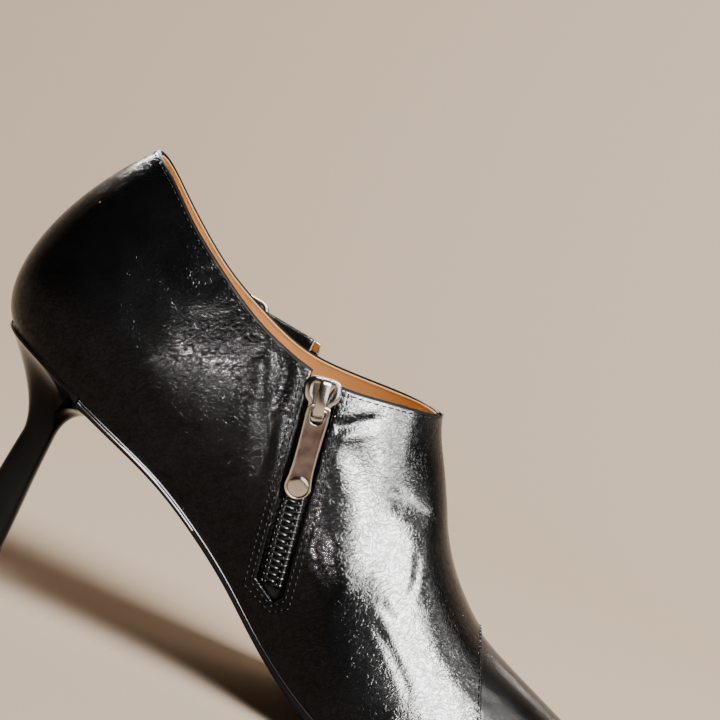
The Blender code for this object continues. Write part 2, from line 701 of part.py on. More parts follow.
def teeth_mesh(name, inner, axes, side, shift):
    """One row of teeth: a cord at the outer edge, widened to a tooth at each step. Side -1 is to the rear."""
    marks = [(CHAIN_START, TEETH_SPINE)]
    place = CHAIN_START + TOOTH_PITCH / 4 + shift
    while place + TOOTH_THICK < CHAIN_END - GAP:
        end = place + TOOTH_THICK
        marks += [(place - TOOTH_SLOPE, TEETH_SPINE), (place + TOOTH_SLOPE, -TOOTH_REACH)]
        marks += [(end - TOOTH_SLOPE, -TOOTH_REACH), (end + TOOTH_SLOPE, TEETH_SPINE)]
        place += TOOTH_PITCH
    marks.append((CHAIN_END, TEETH_SPINE))
    rings = []
    for along, reach in marks:
        edge, tip = inner(along, side * TEETH_EDGE), inner(along, side * reach)
        rise = axes(along)[2] * TEETH_HEIGHT
        rings.append([edge, tip, tip + rise, edge + rise])
    return strip_mesh(name, rings)


def frame_matrix(origin, first, second, third):
    """World matrix whose X, Y and Z run along the three directions, in metres."""
    matrix = Matrix.Identity(4)
    for column, direction in enumerate((first, second, third)):
        for line in range(3):
            matrix[line][column] = direction[line]
    matrix.translation = Vector(origin) * MM
    return matrix


def outline_plate(name, corners, low, high, bevel=0.0):
    """A flat outline in its own X and Y, raised from low to high."""
    count = len(corners)
    points = [[x, y, z] for z in (low, high) for x, y in corners]
    faces = [list(range(count)), list(range(count, 2 * count))]
    faces += [[i, (i + 1) % count, count + (i + 1) % count, count + i] for i in range(count)]
    mesh = mesh_of(name, points, faces)
    if bevel:
        body = bmesh.new()
        body.from_mesh(mesh)
        edges = [edge for edge in body.edges if edge.calc_face_angle() > math.radians(40)]
        bmesh.ops.bevel(body, geom=edges, offset=bevel * MM, segments=1, affect="EDGES", profile=0.7)
        body.to_mesh(mesh)
        body.free()
        mesh.shade_smooth()
        mesh.set_sharp_from_angle(angle=math.radians(35))
    return mesh


def arc(middle, radius, start, end, steps):
    """Points of an arc in degrees, as (x, y)."""
    turns = np.radians(np.linspace(start, end, steps))
    return [(middle[0] + radius * math.cos(a), middle[1] + radius * math.sin(a)) for a in turns]


def shield_mesh():
    """The slider's shield. X runs down the zip, Y across, Z out."""
    outline = [(edge.along, edge.half) for edge in SHIELD]
    outline += [(x, -y) for x, y in reversed(outline)]
    return outline_plate("zip_slider", outline, SHIELD_LOW, SHIELD_HIGH, SHIELD_BEVEL)


def bridge_mesh():
    """An arch standing on the shield: the outer line down to the shield, back along the inner."""
    ring = [(arch.outer_along, arch.outer_rise) for arch in BRIDGE]
    ring += [(arch.inner_along, arch.inner_rise) for arch in reversed(BRIDGE)]
    count = len(BRIDGE)
    points = [[x, y, z] for y in (-BRIDGE_HALF, BRIDGE_HALF) for x, z in ring]
    faces = []
    for base in (0, 2 * count):
        for i in range(count - 1):
            back = base + 2 * count - 1 - i
            faces.append([base + i, base + i + 1, back - 1, back])
    for i in range(2 * count):
        ahead = (i + 1) % (2 * count)
        faces.append([i, ahead, 2 * count + ahead, 2 * count + i])
    return mesh_of("slider_bridge", points, faces)


def pull_mesh():
    """The tab: a plate with an eye round the bridge, its axis at the origin, X towards its free end."""
    tip = arc((PULL_LENGTH - PULL_END, 0), PULL_END, -80, 80, 11)
    head = [(EYE_LENGTH * 1.5, PULL_HALF), (0.0, PULL_HALF), (-PULL_HEAD, PULL_HALF - PULL_HEAD)]
    outline = [(x, -y) for x, y in reversed(head)] + tip + head
    plate = outline_plate("zip_pull", outline, -PULL_THICK / 2, PULL_THICK / 2, PULL_BEVEL)
    side = [(PULL_HEAD, EYE_HALF), (EYE_LENGTH - EYE_CORNER, EYE_HALF), (EYE_LENGTH, EYE_HALF - EYE_CORNER)]
    eye = side + [(x, -y) for x, y in reversed(side)]
    return plate, outline_plate("pull_eye", eye, -2 * PULL_THICK, 2 * PULL_THICK)


def strap_point(wall, x, rise):
    """Place on the lateral wall, or above the collar on the wall's own line carried on."""
    middle = STRAP_MID[1] + STRAP_SLOPE * (x - STRAP_MID[0])
    z = middle + rise
    edge = float(collar_height(x, LATERAL)) - 1.2
    if z <= edge:
        return wall.outside(x, z, LATERAL)
    high, low = wall.outside(x, edge, LATERAL), wall.outside(x, edge - 6, LATERAL)
    return high + (high - low) / (high[2] - low[2]) * (z - edge)


def strap_frames(wall):
    """Middle of the strap, its rise and outward directions, as smooth functions of X."""
    xs = np.linspace(STRAP_FROM - 2, STRAP_TO + 5, 12)
    fits = {}
    for rise in (-STRAP_WIDTH / 2, 0, STRAP_WIDTH / 2):
        spots = np.array([strap_point(wall, x, rise) for x in xs])
        fits[rise] = (np.polyfit(xs, spots[:, 1], 4), np.polyfit(xs, spots[:, 2], 2))

    def place(x, rise):
        share = rise / (STRAP_WIDTH / 2)
        low, mid, high = (
            np.array([np.polyval(fits[each][0], x), np.polyval(fits[each][1], x)])
            for each in (-STRAP_WIDTH / 2, 0, STRAP_WIDTH / 2)
        )
        y, z = mid + share * (high - low) / 2 + share**2 * ((high + low) / 2 - mid)
        return np.array([x, y, z])

    def axes(x, rise=0.0):
        ahead = unit(place(x + 1, rise) - place(x - 1, rise))
        up = unit(place(x, rise + 1) - place(x, rise - 1))
        out = unit(np.cross(up, ahead))
        return ahead, up, out if out[1] > 0 else -out

    return place, axes


def band_mesh(name, place, axes, span, levels, steps, point=0.0):
    """A band on the lateral wall over a span in X, between two levels off the wall."""
    xs = np.linspace(*span, steps)
    low, high = levels
    half_width = STRAP_WIDTH / 2
    rises = np.array([-1, -0.86, -0.4, 0, 0.4, 0.86, 1]) * half_width
    points, faces = [], []
    for level in (0, 1):
        for k, x in enumerate(xs):
            for rise in rises:
                shift = point * (abs(rise) / half_width) ** 2 * (k / (steps - 1)) ** 6
                out = axes(x, rise)[2]
                edge = 0.35 if level and abs(rise) == half_width else 0.0
                points.append(place(x - shift, rise) + out * ((high - edge) if level else low))
    rows, columns = steps, len(rises)
    size = rows * columns
    for base in (0, size):
        for i in range(rows - 1):
            for j in range(columns - 1):
                k = base + i * columns + j
                faces.append([k, k + 1, k + columns + 1, k + columns])
    rim = list(range(columns)) + [i * columns + columns - 1 for i in range(1, rows)]
    rim += [size - 1 - j for j in range(1, columns)] + [i * columns for i in range(rows - 2, 0, -1)]
    for here, there in zip(rim, rim[1:] + rim[:1]):
        faces.append([here, there, size + there, size + here])
    return mesh_of(name, points, faces)


def buckle_mesh():
    """Rounded rectangle of wire, bent from one bar. X along the strap, Y up, Z out."""
    length, width = (BUCKLE_LENGTH - BUCKLE_BAR) / 2, (BUCKLE_WIDTH - BUCKLE_BAR) / 2
    corner = BUCKLE_CORNER
    path = []
    for turn, (sx, sy) in zip((0, 90, 180, 270), ((1, 1), (-1, 1), (-1, -1), (1, -1))):
        path += arc((sx * (length - corner), sy * (width - corner)), corner, turn, turn + 90, 5)
    sides = 8
    points, faces = [], []
    count = len(path)
    for i, (x, y) in enumerate(path):
        ahead, behind = np.array(path[(i + 1) % count]), np.array(path[i - 1])
        normal = unit([(ahead - behind)[1], -(ahead - behind)[0]])
        for k in range(sides):
            a = 2 * math.pi * (k + 0.5) / sides
            reach = BUCKLE_BAR / 2 * math.cos(a)
            points.append([x + normal[0] * reach, y + normal[1] * reach, BUCKLE_BAR / 2 * math.sin(a)])
    for i in range(count):
        for k in range(sides):
            ahead, turn = (i + 1) % count, (k + 1) % sides
            faces.append([i * sides + k, i * sides + turn, ahead * sides + turn, ahead * sides + k])
    return mesh_of("buckle_frame", points, faces)


def prong_mesh():
    """The prong: a slim bar from behind the buckle's rear bar to rest on its front bar. X along the strap."""
    reach = BUCKLE_LENGTH / 2 - BUCKLE_BAR / 2
    rise = BUCKLE_BAR / 2 + GAP + PRONG / 2
    rings = []
    places = (-reach, -reach / 2, 0, reach + BUCKLE_BAR / 2)
    for x, sag, taper in zip(places, (0, PRONG_SAG, PRONG_SAG / 2, 0), PRONG_TAPER):
        z, half = rise - sag, PRONG / 2 * taper
        rings.append([(x, -half, z - half), (x, half, z - half), (x, half, z + half), (x, -half, z + half)])
    return strip_mesh("buckle_prong", rings)


def build():
    for obj in list(bpy.data.objects):
        bpy.data.objects.remove(obj, do_unlink=True)
    parts = bpy.data.collections.new("ankle_bootie")
    cutters = bpy.data.collections.new("cutters")
    for each in (parts, cutters):
        bpy.context.scene.collection.children.link(each)
    leather = material("black_leather", (0.012, 0.012, 0.013), 0.28)
    sole_black = material("sole_black", (0.014, 0.013, 0.013), 0.3)
    heel_gloss = material("heel_gloss", (0.008, 0.008, 0.009), 0.12)
    lift_rubber = material("lift_rubber", (0.02, 0.02, 0.021), 0.6)
    lining = material("tan_lining", (0.62, 0.36, 0.15), 0.55)
    tape_black = material("tape_black", (0.015, 0.015, 0.016), 0.8)
    teeth_black = material("teeth_black", (0.015, 0.015, 0.016), 0.3)
    nickel = material("nickel", (0.78, 0.76, 0.73), 0.16, 1.0)

    def hide(mesh):
        cutter = new_object(mesh.name, mesh, cutters)
        cutter.hide_render = True
        cutter.display_type = "WIRE"
        return cutter

    upper_shell = upper_mesh()
    wall = Wall(upper_shell)
    upper = new_object("upper", upper_shell, parts, leather)
    cut(upper, hide(slot_mesh()))
    new_object("outsole", outsole_mesh(), parts, sole_black)
    new_object("insole", insole_mesh(), parts, lining)
    heel = new_object("heel", heel_mesh(), parts, heel_gloss)
    cut(heel, hide(outsole_mesh("sole_seat", GAP)))
    new_object("heel_tip", heel_tip_mesh(), parts, lift_rubber)

    inner, axes = zip_lines(wall)
    new_object("zip_tape", tape_mesh(inner, axes), parts, tape_black)
    for name, side, shift in (("zip_teeth_rear", -1, 0.0), ("zip_teeth_front", 1, TOOTH_PITCH / 2)):
        new_object(name, teeth_mesh(name, inner, axes, side, shift), parts, teeth_black)

    down, over, out = axes(SLIDER_AT)
    skin = WALL + QUARTER_STEP
    seat = frame_matrix(inner(SLIDER_AT, 0) + out * skin, down, over, out)
    slider = new_object("zip_slider", shield_mesh(), parts, nickel)
    slider.matrix_world = seat
    bridge = hide(bridge_mesh())
    bridge.matrix_world = seat
    cut(slider, bridge, "UNION")

    hinge = inner(SLIDER_AT, 0) + out * (skin + HINGE_OUT) + down * HINGE_AT
    end = SLIDER_AT + HINGE_AT + PULL_LENGTH
    rest = inner(end, 0) + axes(end)[2] * (skin + PULL_REST)
    lie = rest - hinge
    lie = unit(lie - over * lie.dot(over))
    plate, eye = pull_mesh()
    pull = new_object("zip_pull", plate, parts, nickel)
    pull.matrix_world = frame_matrix(hinge, lie, over, np.cross(lie, over))
    eye_cutter = hide(eye)
    eye_cutter.matrix_world = pull.matrix_world
    cut(pull, eye_cutter)

    place, strap_axes = strap_frames(wall)
    low, high = STRAP_OFF, STRAP_OFF + STRAP_THICK
    band = band_mesh("strap", place, strap_axes, (STRAP_FROM, STRAP_TO), (low, high), 18)
    new_object("strap", band, parts, leather)
    tip_span = (STRAP_TO + GAP, STRAP_TO + GAP + TIP_LENGTH)
    tip = band_mesh("strap_tip", place, strap_axes, tip_span, (low, high + 0.2), 4, 1.0)
    new_object("strap_tip", tip, parts, nickel)
    ahead, up, outward = strap_axes(STRAP_MID[0])
    lift = high + GAP + BUCKLE_BAR / 2
    buckle = new_object("buckle_frame", buckle_mesh(), parts, nickel)
    buckle.matrix_world = frame_matrix(place(STRAP_MID[0], 0) + outward * lift, ahead, up, outward)
    prong = new_object("buckle_prong", prong_mesh(), parts, nickel)
    prong.matrix_world = buckle.matrix_world


build()
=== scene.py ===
import json
import math
import bmesh
import bpy
import numpy as np
from mathutils import Matrix, Vector
from mathutils.bvhtree import BVHTree


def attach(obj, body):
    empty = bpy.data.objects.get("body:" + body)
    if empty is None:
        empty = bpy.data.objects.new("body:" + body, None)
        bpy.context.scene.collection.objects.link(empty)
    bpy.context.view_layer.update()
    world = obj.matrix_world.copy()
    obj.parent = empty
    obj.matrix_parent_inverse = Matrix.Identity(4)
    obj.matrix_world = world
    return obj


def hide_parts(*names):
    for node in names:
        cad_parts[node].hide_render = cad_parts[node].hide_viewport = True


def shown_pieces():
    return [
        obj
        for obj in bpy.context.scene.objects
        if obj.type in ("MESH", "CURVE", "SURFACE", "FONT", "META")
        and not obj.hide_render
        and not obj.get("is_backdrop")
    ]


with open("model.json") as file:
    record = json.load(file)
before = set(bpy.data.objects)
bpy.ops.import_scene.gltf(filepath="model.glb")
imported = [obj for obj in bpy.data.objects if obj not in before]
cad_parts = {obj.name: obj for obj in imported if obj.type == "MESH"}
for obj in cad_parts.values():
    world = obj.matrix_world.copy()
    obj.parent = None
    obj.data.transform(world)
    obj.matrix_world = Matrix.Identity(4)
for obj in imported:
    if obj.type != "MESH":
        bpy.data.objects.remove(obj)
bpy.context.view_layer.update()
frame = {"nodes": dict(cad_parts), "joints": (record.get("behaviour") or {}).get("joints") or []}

mm = 0.001
medial, lateral = -1, 1


# camera first: the photo's angle to the shoe, rolled so that the toe points down to the right
cameraSettings = {
    "target": (79.8, 0.0, 103.0),
    "elevation": 5.0,
    "roll": 25.0,
    "distance": 700.0,
    "pixelsPerMm": 3.4,
    "picture": 720,
    "sensor": 36,
}


def makeCamera(c):
    elevation, roll = math.radians(c["elevation"]), math.radians(c["roll"])
    back = Vector((0, -math.cos(elevation), math.sin(elevation)))
    right = (-back).cross(Vector((0, 0, 1))).normalized()
    up = right.cross(-back)
    rolledRight = right * math.cos(roll) + up * math.sin(roll)
    rolledUp = up * math.cos(roll) - right * math.sin(roll)
    data = bpy.data.cameras.new("photoCamera")
    data.sensor_width = c["sensor"]
    data.lens = c["pixelsPerMm"] * c["distance"] * c["sensor"] / c["picture"]
    data.clip_start, data.clip_end = 0.05, 20
    camera = bpy.data.objects.new("photoCamera", data)
    turn = Matrix((rolledRight, rolledUp, back)).transposed().to_4x4()
    turn.translation = (Vector(c["target"]) + back * c["distance"]) * mm
    camera.matrix_world = turn
    bpy.context.scene.collection.objects.link(camera)
    bpy.context.scene.camera = camera


makeCamera(cameraSettings)
print("camera placed")


# curves through a few numbers, as the last maker's sections are drawn
def naturalSpline(knots, values, at):
    knots, values, at = np.asarray(knots, float), np.asarray(values, float), np.asarray(at, float)
    step = np.diff(knots)
    size = len(knots)
    matrix, right = np.eye(size), np.zeros(size)
    for i in range(1, size - 1):
        matrix[i, i - 1:i + 2] = step[i - 1], 2 * (step[i - 1] + step[i]), step[i]
        right[i] = 6 * ((values[i + 1] - values[i]) / step[i] - (values[i] - values[i - 1]) / step[i - 1])
    bend = np.linalg.solve(matrix, right)
    i = np.clip(np.searchsorted(knots, at) - 1, 0, size - 2)
    a, b = (knots[i + 1] - at) / step[i], (at - knots[i]) / step[i]
    cubic = ((a ** 3 - a) * bend[i] + (b ** 3 - b) * bend[i + 1]) * step[i] ** 2 / 6
    return a * values[i] + b * values[i + 1] + cubic


def ringSpline(knots, values, at):
    knots, values = np.asarray(knots, float), np.asarray(values, float)
    turn = knots[-1] - knots[0]
    longKnots = np.concatenate([knots[:-1] - turn, knots[:-1], knots + turn])
    longValues = np.concatenate([values[:-1], values[:-1], values])
    return naturalSpline(longKnots, longValues, at)


def smoothStep(value, low, high):
    part = np.clip((np.asarray(value, float) - low) / (high - low), 0, 1)
    return part * part * (3 - 2 * part)


def unit(vector):
    vector = np.asarray(vector, float)
    return vector / np.linalg.norm(vector, axis=-1, keepdims=True)


def arcLengths(points):
    return np.concatenate([[0], np.cumsum(np.linalg.norm(np.diff(points, axis=0), axis=1))])


def sampled(at, knots, points):
    return np.stack([np.interp(at, knots, points[:, axis]) for axis in range(points.shape[1])], axis=1)


# the last: sections from heel to toe tip, in mm. feather = where the upper meets the sole
shoe = {
    "wall": 1.5,
    "quarterStep": 0.9,
    "skirt": 1.0,
    "soleWaist": 2.4,
    "soleTread": 3.0,
    "soleLedge": 0.5,
    "gap": 0.3,
    "treadStart": 129.0,
    "treadEnd": 151.0,
    "thickFrom": 85.0,
    "thickTo": 125.0,
    "soleRear": 12.0,
    "toeSpring": 6.0,
    "throatRow": 11,
    "seamRow": 15,
    "soleLineX": (-24, -8, 9, 25, 42, 57, 73, 86, 98, 112),
    "soleLineZ": (72.3, 68.2, 62.4, 56.6, 49.7, 41.3, 30.6, 21.0, 13.7, 7.4),
}
sectionFields = (
    "featherX featherMedial featherLateral heading bellyOut bellyUp "
    "topX topMid topHalf topZ crownHeading crownOut crownDrop"
).split()
sectionRows = [
    (-17.2, 0.0, 0.0, -90, 8.5, 9.0, 3.4, 0, 0.0, 136.0, -90, 24.5, 27.0),
    (-13.8, 12.0, 12.0, -58, 8.0, 10.0, 4.6, 0, 8.0, 135.0, -62, 21.0, 28.0),
    (-5.0, 19.8, 19.8, -32, 7.0, 12.0, 8.5, 0, 14.5, 132.0, -38, 16.0, 29.0),
    (8.0, 24.0, 24.0, -12, 6.0, 14.0, 15.5, 0, 19.5, 128.5, -15, 10.5, 29.0),
    (25.0, 24.6, 25.2, 0, 6.0, 17.0, 28.0, 0, 23.2, 125.0, 0, 6.0, 27.0),
    (48.0, 21.6, 25.6, 0, 8.0, 20.0, 48.0, 0, 25.0, 121.5, 0, 3.5, 26.0),
    (70.0, 20.4, 27.0, 0, 9.0, 24.0, 70.0, 0, 24.0, 120.0, 0, 4.5, 28.0),
    (86.0, 23.0, 30.2, 0, 8.5, 26.0, 86.0, 0, 19.5, 119.5, 0, 7.5, 28.0),
    (95.5, 26.2, 33.0, 0, 7.5, 26.0, 96.0, 0, 13.5, 119.0, 0, 10.0, 25.0),
    (102.0, 29.0, 35.0, 0, 6.8, 24.0, 101.8, 0, 6.5, 117.0, 0, 12.5, 19.0),
    (106.0, 30.6, 36.2, 0, 6.4, 22.5, 105.2, 0, 1.0, 109.5, 0, 13.5, 10.0),
    (110.0, 32.2, 37.2, 0, 6.0, 21.0, 107.7, 0, 0.0, 99.1, 0, 13.0, 0.0),
    (120.0, 35.2, 38.9, 3, 5.4, 17.0, 115.6, -1, 0.0, 83.4, 0, 15.0, 0.0),
    (132.0, 36.8, 39.2, 0, 4.8, 14.0, 125.4, -2.4, 0.0, 65.6, 0, 17.5, 0.0),
    (146.0, 36.2, 37.4, 5, 4.4, 12.0, 135.6, -3.4, 0.0, 53.5, 0, 19.0, 0.0),
    (160.0, 33.2, 33.4, 12, 4.0, 10.5, 145.6, -4.1, 0.0, 45.6, 0, 20.0, 0.0),
    (176.0, 28.2, 26.4, 18, 3.6, 9.0, 161.0, -4.7, 0.0, 38.6, 0, 18.0, 0.0),
    (191.0, 22.6, 18.4, 23, 3.3, 8.0, 178.0, -5, 0.0, 32.0, 0, 14.8, 0.0),
    (203.0, 17.8, 11.4, 28, 3.1, 7.4, 193.0, -5, 0.0, 25.8, 0, 11.5, 0.0),
    (211.5, 13.8, 5.4, 38, 3.0, 7.0, 203.0, -5, 0.0, 21.2, 14, 9.0, 0.9),
    (217.2, 10.2, 0.4, 60, 2.9, 6.6, 203.0, -5, 0.0, 21.2, 50, 9.6, 3.3),
    (219.5, 5.0, -5.0, 90, 2.8, 6.2, 203.0, -5, 0.0, 21.2, 90, 10.5, 4.8),
]
sections = [dict(zip(sectionFields, row)) for row in sectionRows]
collarLine = {
    "x": (-6.0, 2.1, 10.0, 20.0, 30.8, 47.7, 63.5, 78.0, 92.0, 107.7),
    "medial": (138.0, 133.6, 128.9, 121.2, 114.0, 104.3, 98.6, 96.4, 97.7, 99.1),
    "lateral": (138.0, 133.4, 126.4, 117.9, 110.2, 101.9, 96.8, 96.3, 97.5, 99.1),
}


def soleThickness(x):
    more = shoe["soleTread"] - shoe["soleWaist"]
    return shoe["soleWaist"] + more * smoothStep(x, shoe["thickFrom"], shoe["thickTo"])


def soleHeight(x):
    x = np.asarray(x, float)
    ground = shoe["soleTread"] + shoe["gap"]
    knots = list(shoe["soleLineX"]) + [shoe["treadStart"], shoe["treadStart"] + 8]
    arch = naturalSpline(knots, list(shoe["soleLineZ"]) + [ground, ground], x)
    reach = (x - shoe["treadEnd"]) / (sections[-1]["featherX"] - shoe["treadEnd"])
    spring = ground + shoe["toeSpring"] * np.clip(reach, 0, None) ** 1.7
    return np.where(x < shoe["treadStart"], arch, spring)


def sectionPlaces():
    places = [0.0]
    for a, b in zip(sections, sections[1:]):
        feather = math.hypot(b["featherX"] - a["featherX"], b["featherMedial"] - a["featherMedial"])
        top = math.dist(*([row[k] for k in ("topX", "topHalf", "topZ")] for row in (a, b)))
        places.append(places[-1] + 0.7 * feather + 0.3 * top)
    return np.array(places)


places = sectionPlaces()
noseTip = places[-1]
around = 2 * noseTip
throatPlace, seamPlace = places[shoe["throatRow"]], places[shoe["seamRow"]]


def fromHeel(place):
    return np.minimum(place, around - place)


def sectionControls(row, side):
    feather = row["featherMedial"] if side == medial else row["featherLateral"]
    turn, crownTurn = math.radians(row["heading"]), math.radians(row["crownHeading"])
    base = np.array([row["featherX"], side * feather, float(soleHeight(row["featherX"])) + shoe["skirt"]])
    top = np.array([row["topX"], row["topMid"] + side * row["topHalf"], row["topZ"]])
    outward = np.array([math.sin(turn), side * math.cos(turn), 0])
    belly = base + outward * row["bellyOut"] + [0, 0, row["bellyUp"]]
    crown = np.array([math.sin(crownTurn), side * math.cos(crownTurn), 0])
    return [base, belly, top + crown * row["crownOut"] - [0, 0, row["crownDrop"]], top]


# the outer form: a point for a place round the shoe and a share of the way up its rib
class Last:
    def __init__(self):
        loop = [sectionControls(row, medial) for row in sections]
        loop += [sectionControls(row, lateral) for row in sections][-2::-1]
        knots = np.concatenate([places, around - places[-2::-1]])
        self.fine = np.linspace(0, around, 2400)
        self.table = np.array([[ringSpline(knots, [rib[k][axis] for rib in loop], self.fine)
                                for axis in range(3)] for k in range(4)])
        near = fromHeel(self.fine)
        side = np.where(self.fine <= noseTip, medial, lateral)
        middle = naturalSpline(places, [row["topMid"] for row in sections], near)
        row = shoe["throatRow"] + 1
        half = naturalSpline(places[:row], [each["topHalf"] for each in sections[:row]], near)
        half = np.where(near < throatPlace, np.clip(half, 0, None), 0)
        self.table[3, 1] = middle + side * half
        self.ease(near, 9.0)
        self.ends = self.findEnds()

    # softens the ribs' turn from the shaft into the vamp, which the few sections leave uneven
    def ease(self, near, reach):
        step = self.fine[1]
        offsets = np.arange(-int(3 * reach / step), int(3 * reach / step) + 1)
        weights = np.exp(-0.5 * (offsets * step / reach) ** 2)
        part = smoothStep(near, places[7] - 14, places[8])
        part = part * (1 - smoothStep(near, places[13], places[14] + 6))
        for k in range(3):
            for axis in range(3):
                row = self.table[k, axis]
                wide = np.concatenate([row[-len(offsets):-1], row, row[1:len(offsets)]])
                soft = np.convolve(wide, weights / weights.sum(), "same")[len(offsets) - 1:][:len(row)]
                self.table[k, axis] = row + (soft - row) * part

    def controls(self, place):
        place = np.asarray(place, float)
        return np.stack([np.stack([np.interp(place, self.fine, row) for row in rows], axis=-1)
                         for rows in self.table])

    def along(self, controls, t):
        a, b, c, d = controls
        t = np.asarray(t, float)[..., None]
        return (1 - t) ** 3 * a + 3 * (1 - t) ** 2 * t * b + 3 * (1 - t) * t * t * c + t ** 3 * d

    def findEnds(self):
        ends = np.ones(len(self.fine))
        t = np.linspace(0, 1, 241)
        for i, place in enumerate(self.fine):
            if fromHeel(place) >= throatPlace - 1e-6:
                continue
            line = self.along(self.table[:, None, :, i].repeat(len(t), axis=1), t)
            heights = collarLine["medial" if place <= noseTip else "lateral"]
            over = line[:, 2] - naturalSpline(collarLine["x"], heights, line[:, 0]) + collar["drop"]
            first = int(np.argmax(over > 0)) if (over > 0).any() else len(t) - 1
            part = -over[first - 1] / (over[first] - over[first - 1])
            ends[i] = t[first - 1] + part * (t[first] - t[first - 1])
        return ends

    def point(self, place, share):
        return self.along(self.controls(place), np.interp(place, self.fine, self.ends) * share)

    def normal(self, place, share):
        near = fromHeel(place)
        share = np.where(near > places[18], np.minimum(share, 0.985), share)
        d = 0.35
        back, ahead = np.mod(place - d, around), np.mod(place + d, around)
        end = np.interp(place, self.fine, self.ends)
        t = end * share
        across = self.along(self.controls(ahead), t) - self.along(self.controls(back), t)
        up = self.along(self.controls(place), t + 0.004) - self.along(self.controls(place), t - 0.004)
        return unit(np.cross(across, up))


collar = {
    "drop": 1.0,
    "rollRise": 0.95,
    "foldDown": 1.2,
    "leather": 1.5,
    "rollTurns": (30, 60, 90, 120, 150, 180),
}
last = Last()
print("last ready, places", round(noseTip, 1))


# zip line seen from the medial side: x, z at a distance down it and across it
zipper = {
    "top": (73.3, 97.2),
    "bottom": (84.4, 32.4),
    "half": 4.4,
    "cutRear": 61.8,
    "cutMiddle": 66.8,
    "cutFront": 63.8,
    "edgeRadius": 0.8,
    "edgeTurn": 0.8,
    "rows": (1.1, 2.7),
    "grooveDepth": 0.12,
    "grooveWidth": 0.3,
    "wallDown": 78.0,
    "shareStep": 82.0,
    "between": (55, 105),
}
zipStart, zipEnd = np.array(zipper["top"]), np.array(zipper["bottom"])
zipDown = unit(zipEnd - zipStart)
zipOver = np.array([-zipDown[1], zipDown[0]])


def zipCoordinates(points):
    flat = points[..., [0, 2]] - zipStart
    return flat @ zipDown, flat @ zipOver


def windowCut(across):
    half = zipper["half"]
    cuts = [zipper[key] for key in ("cutRear", "cutMiddle", "cutFront")]
    return np.interp(across, (-half, half * 0.5, half), cuts)


def windowDistance(along, across):
    below = along - windowCut(np.clip(across, -zipper["half"], zipper["half"]))
    return np.maximum(np.abs(across) - zipper["half"], below)


def bisect(value, low, high, target, steps=26):
    low, high = low.copy(), high.copy()
    for _ in range(steps):
        middle = (low + high) / 2
        under = value(middle) < target
        low, high = np.where(under, middle, low), np.where(under, high, middle)
    return (low + high) / 2


def placeAcross(share, across, steps=26):
    low, high = np.full_like(share, places[3]), np.full_like(share, places[10])
    return bisect(lambda p: zipCoordinates(last.point(p, share))[1], low, high, across, steps)


def graded(start, end, step):
    return np.linspace(start, end, max(2, int(round(abs(end - start) / step)) + 1))


# columns of the leather's grid: each a place, and near the zip its distance across the zip
def skinPlaces():
    half = zipper["half"]
    close = np.array([0.12, 0.32, 0.65, 1.1, 1.7, 2.3])
    window = graded(-half, half, 0.75)[1:-1]
    zone = np.concatenate([-half - close[::-1], [-half], window, [half], half + close])
    reach = half + 2.3
    zone = np.concatenate([graded(-reach - 4, -reach, 0.7)[:-1], zone, graded(reach, reach + 4, 0.7)[1:]])
    centre = float(bisect(lambda p: zipCoordinates(last.point(p, np.full_like(p, 0.6)))[1],
                          np.array([places[4]]), np.array([places[9]]), 0.0)[0])
    edge = np.array([-1.4, -0.8, -0.45, -0.22, -0.08, 0.0, 0.03, 0.2, 0.6, 1.2])
    step = 1.05
    toe = graded(seamPlace + 1.2 + step, noseTip, step)
    columns = [graded(0, centre + zone[0] - step, step), centre + zone,
               graded(centre + zone[-1] + step, seamPlace - 1.4 - step, step), seamPlace + edge, toe]
    columns += [around - toe[-2::-1], around - seamPlace - edge[::-1],
                graded(around - seamPlace + 1.4 + step, around - step, step)]
    column = np.concatenate(columns)
    first = len(columns[0])
    inZone = np.zeros(len(column), bool)
    inZone[first:first + len(zone)] = True
    across = np.zeros(len(column))
    across[inZone] = zone
    return column, inZone, across, centre


